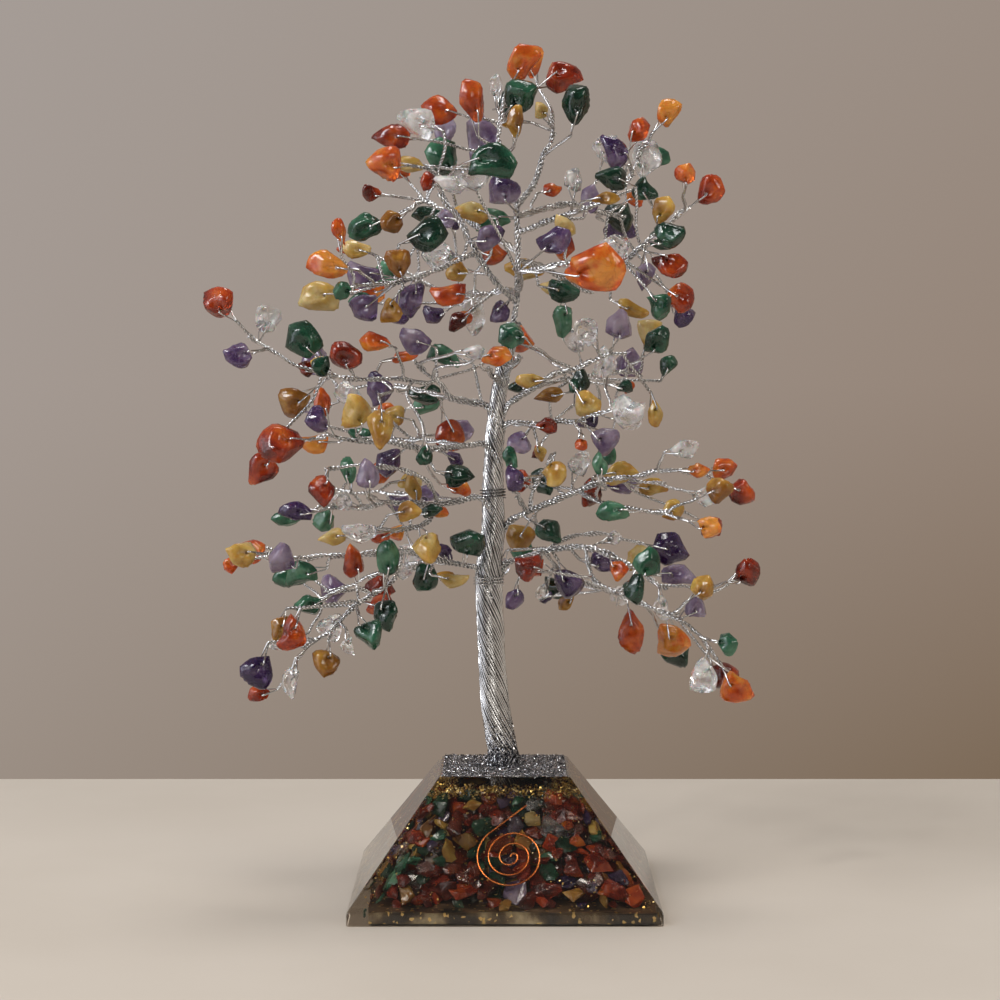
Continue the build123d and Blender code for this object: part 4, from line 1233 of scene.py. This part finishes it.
def make_brass():
    """Brass leaf in a band under the top, and scattered near the faces."""
    flake = make_flake()
    block = corners_of(flake)
    places = []
    for i in range(flake_count):
        in_band = i < flake_count * flake_band_share
        height = chance.uniform(*(flake_band if in_band else (flake_lowest, heap_top)))
        room = half_at(height) - flake_cover
        depth = room * flake_band_depth if in_band else flake_depth
        out = room - (chance.random() ** flake_crowding) * depth
        spot = turned_to_side(Vector((chance.uniform(-out, out), -out, height)))
        if room_round(np.array(spot))[0] > 0:
            places.append(flake_corners(block, spot, any_way(), flake_sizes))
    mesh = copies("brass_leaf", flake, places, [chance.random() for _ in places], smooth=False)
    add_piece("brass_leaf", mesh, brass_flake, "tree", ("brass_flakes",))


def collar_radius(rise):
    """How wide the glue round the trunk is at a height above the bed."""
    share = min(rise / (collar_high.z - bed_high.z), 1)
    return collar_top + (collar_foot - collar_top) * (1 - share) ** 2


def make_collar():
    """Glitter glue round the trunk's foot, thin where the wires come out of it."""
    shape = bmesh.new()
    tall = collar_high.z - bed_high.z
    bmesh.ops.create_cone(shape, cap_ends=True, segments=collar_sides, radius1=collar_top,
                          radius2=collar_top, depth=tall)
    upright = [edge for edge in shape.edges if rise_of(edge) > tall / 2]
    bmesh.ops.subdivide_edges(shape, edges=upright, cuts=collar_cuts)
    bmesh.ops.translate(shape, verts=shape.verts, vec=(0, 0, tall / 2))
    for vert in shape.verts:
        out = collar_radius(vert.co.z) + chance.gauss(0, 1) * collar_lumps
        middle = middle_at_one(bed_high.z + vert.co.z)
        vert.co.xy = vert.co.xy.normalized() * out
        vert.co = Vector((vert.co.x + middle[0], vert.co.y + middle[1], middle[2] - collar_sink))
    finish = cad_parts["glitter_bed"].material_slots[0].material
    add_piece("collar_glue", to_mesh(shape, "collar_glue"), finish, "tree", ("glitter_collar",))


def make_glitter():
    """Loose glitter flakes that stand out of the glue."""
    flake = make_flake()
    block = corners_of(flake)
    places = []
    reach = bed_high.x - bed_inset
    for _ in range(bed_flakes):
        height = bed_high.z + chance.triangular(*bed_heap)
        spot = (chance.uniform(-reach, reach), chance.uniform(-reach, reach), height)
        facing = (chance.gauss(0, bed_tilt), chance.gauss(0, bed_tilt), 1)
        places.append(flake_corners(block, spot, facing, bed_flake_sizes))
    tones = [chance.random() for _ in places]

    # Most of the collar's flakes lie low, and the trunk above is dusted with a few
    for _ in range(collar_flakes):
        rise = chance.expovariate(1) % dusted_tiers * dusted_height
        angle = chance.uniform(0, math.tau)
        outward = np.array((math.cos(angle), math.sin(angle), 0))
        out = max(collar_radius(rise), girths[1] - trunk_press) + chance.uniform(*collar_heap)
        spot = middle_at_one(bed_high.z + rise) + outward * out
        places.append(flake_corners(block, spot, outward + any_way() * collar_tilt, bed_flake_sizes))
        tones.append(chance.random() * collar_brightest)
    mesh = copies("loose_glitter", flake, places, tones, smooth=False)
    add_piece("loose_glitter", mesh, glitter_flake, "tree")


def make_sediment():
    """The layer of metal dust and resin at the bottom of the casting, with uneven sides."""
    left, right = [half_foot - gap for gap in sediment_gaps]
    low, high = sediment_heights
    half_sizes = ((left + right) / 2, right, (high - low) / 2)
    shape = box_shape(half_sizes, ((right - left) / 2, 0, (low + high) / 2))
    level = [edge for edge in shape.edges if rise_of(edge) < (high - low) / 2]
    bmesh.ops.subdivide_edges(shape, edges=level, cuts=sediment_steps, use_grid_fill=True)
    for vert in shape.verts:
        inward = Vector((-vert.co.x, -vert.co.y, 0)).normalized()
        vert.co += inward * (noise.noise(vert.co * sediment_waves) + 1) * sediment_lumps
    bmesh.ops.recalc_face_normals(shape, faces=shape.faces)
    add_piece("sediment", to_mesh(shape, "sediment", False), sediment_finish(), "tree")


def finish_nodes():
    """The model's own shapes that stay get their materials."""
    kept = {"copper_spiral": copper_finish(), "glitter_bed": glitter_finish()}
    kept.update({node: silver_wire for node in binding_nodes})
    # The middle binding is near black: its own dark wire and painted shade together
    kept["middle_binding"] = dark_wire
    for node, finish in kept.items():
        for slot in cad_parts[node].material_slots:
            slot.material = finish


def make_table():
    half_depth = (table_back - table_front) / 2
    middle = (0, (table_back + table_front) / 2, -table_thickness / 2)
    shape = box_shape((table_half, half_depth, table_thickness / 2), middle)
    round_edges(shape, table_edge, 3)
    table = put_in_scene("table", to_mesh(shape, "table", False))
    table.data.materials.append(table_finish())


def make_lamp(name, place, size, power, colour):
    lamp = bpy.data.lights.new(name, "AREA")
    lamp.shape = "DISK"
    lamp.size = size
    lamp.energy = power
    lamp.color = colour
    holder = put_in_scene(name, lamp)
    holder.location = place
    aim = lamp_aim - Vector(place)
    holder.rotation_euler = aim.to_track_quat("-Z", "Y").to_euler()


def light_scene():
    """A pale wall that darkens to the right, a window to the left and soft light from all round."""
    world = bpy.data.worlds.new("room")
    bpy.context.scene.world = world
    room = Nodes(world)
    direction = room.node("TexCoord", output=0)
    ways = [room.node("SeparateXYZ", {}, {0: direction}, output=i) for i in range(3)]
    height = room.node("MapRange", {}, {0: ways[2], 1: -0.17, 2: 0.15})
    right = room.node("MapRange", {}, {0: ways[0], 1: -0.2, 2: 0.2})
    left_wall = room.ramp(height, (0.0, (0.325, 0.270, 0.228)), (0.5, (0.371, 0.319, 0.287)),
                          (1.0, (0.378, 0.334, 0.307)))
    right_wall = room.ramp(height, (0.0, (0.20, 0.142, 0.094)), (0.5, (0.301, 0.235, 0.190)),
                           (1.0, (0.325, 0.268, 0.229)))
    wall = room.blend_colours(right, left_wall, right_wall)
    window = room.ramp(ways[0] * 0.5 + 0.5, (0.05, (2.6, 2.7, 2.95)),
                       (0.20, (1.1, 1.12, 1.2)), (0.34, (0.07, 0.06, 0.055)),
                       (0.8, (0.05, 0.045, 0.04)), (0.95, (0.35, 0.31, 0.27)))
    ceiling = room.node("MapRange", {}, {0: ways[2], 1: 0.4, 2: 0.8})
    inside = room.blend_colours(ceiling, window, (0.16, 0.15, 0.14, 1))
    ahead = room.node("MapRange", {}, {0: ways[1], 1: -0.25, 2: 0.2})
    around = room.blend_colours(ahead, inside, wall)
    seen = room.node("LightPath", output=0)
    around = room.blend_colours(seen, around, wall)
    mirrored = room.node("LightPath", output=3)
    through = room.node("LightPath", output=6)
    shown = room.node("Math", {"operation": "MINIMUM"}, {0: seen + mirrored + through, 1: 1.0})
    soft = room.node("Background", {}, {"Color": (1.0, 0.975, 0.94, 1), "Strength": 0.45})
    backdrop = room.node("Background", {}, {"Color": around, "Strength": 1.0})
    mixed = room.node("MixShader", {}, {0: shown, 1: soft, 2: backdrop})
    room.node("OutputWorld", {}, {"Surface": mixed})
    for name, lamp in lamps.items():
        make_lamp(name, *lamp)


def set_camera():
    camera = bpy.data.cameras.new("camera")
    camera.lens = camera_lens
    camera.sensor_width = camera_film
    camera.clip_start = nearest_seen
    holder = put_in_scene("camera", camera)
    holder.location = camera_place
    holder.rotation_euler = (camera_tilt, 0, 0)
    bpy.context.scene.camera = holder
    bpy.context.scene.view_settings.view_transform = "Standard"


set_camera()
light_scene()
make_table()
finish_nodes()
make_trunk()
make_boughs()
make_crown_stones()
make_block()
make_heap()
make_brass()
make_sediment()
make_collar()
make_glitter()
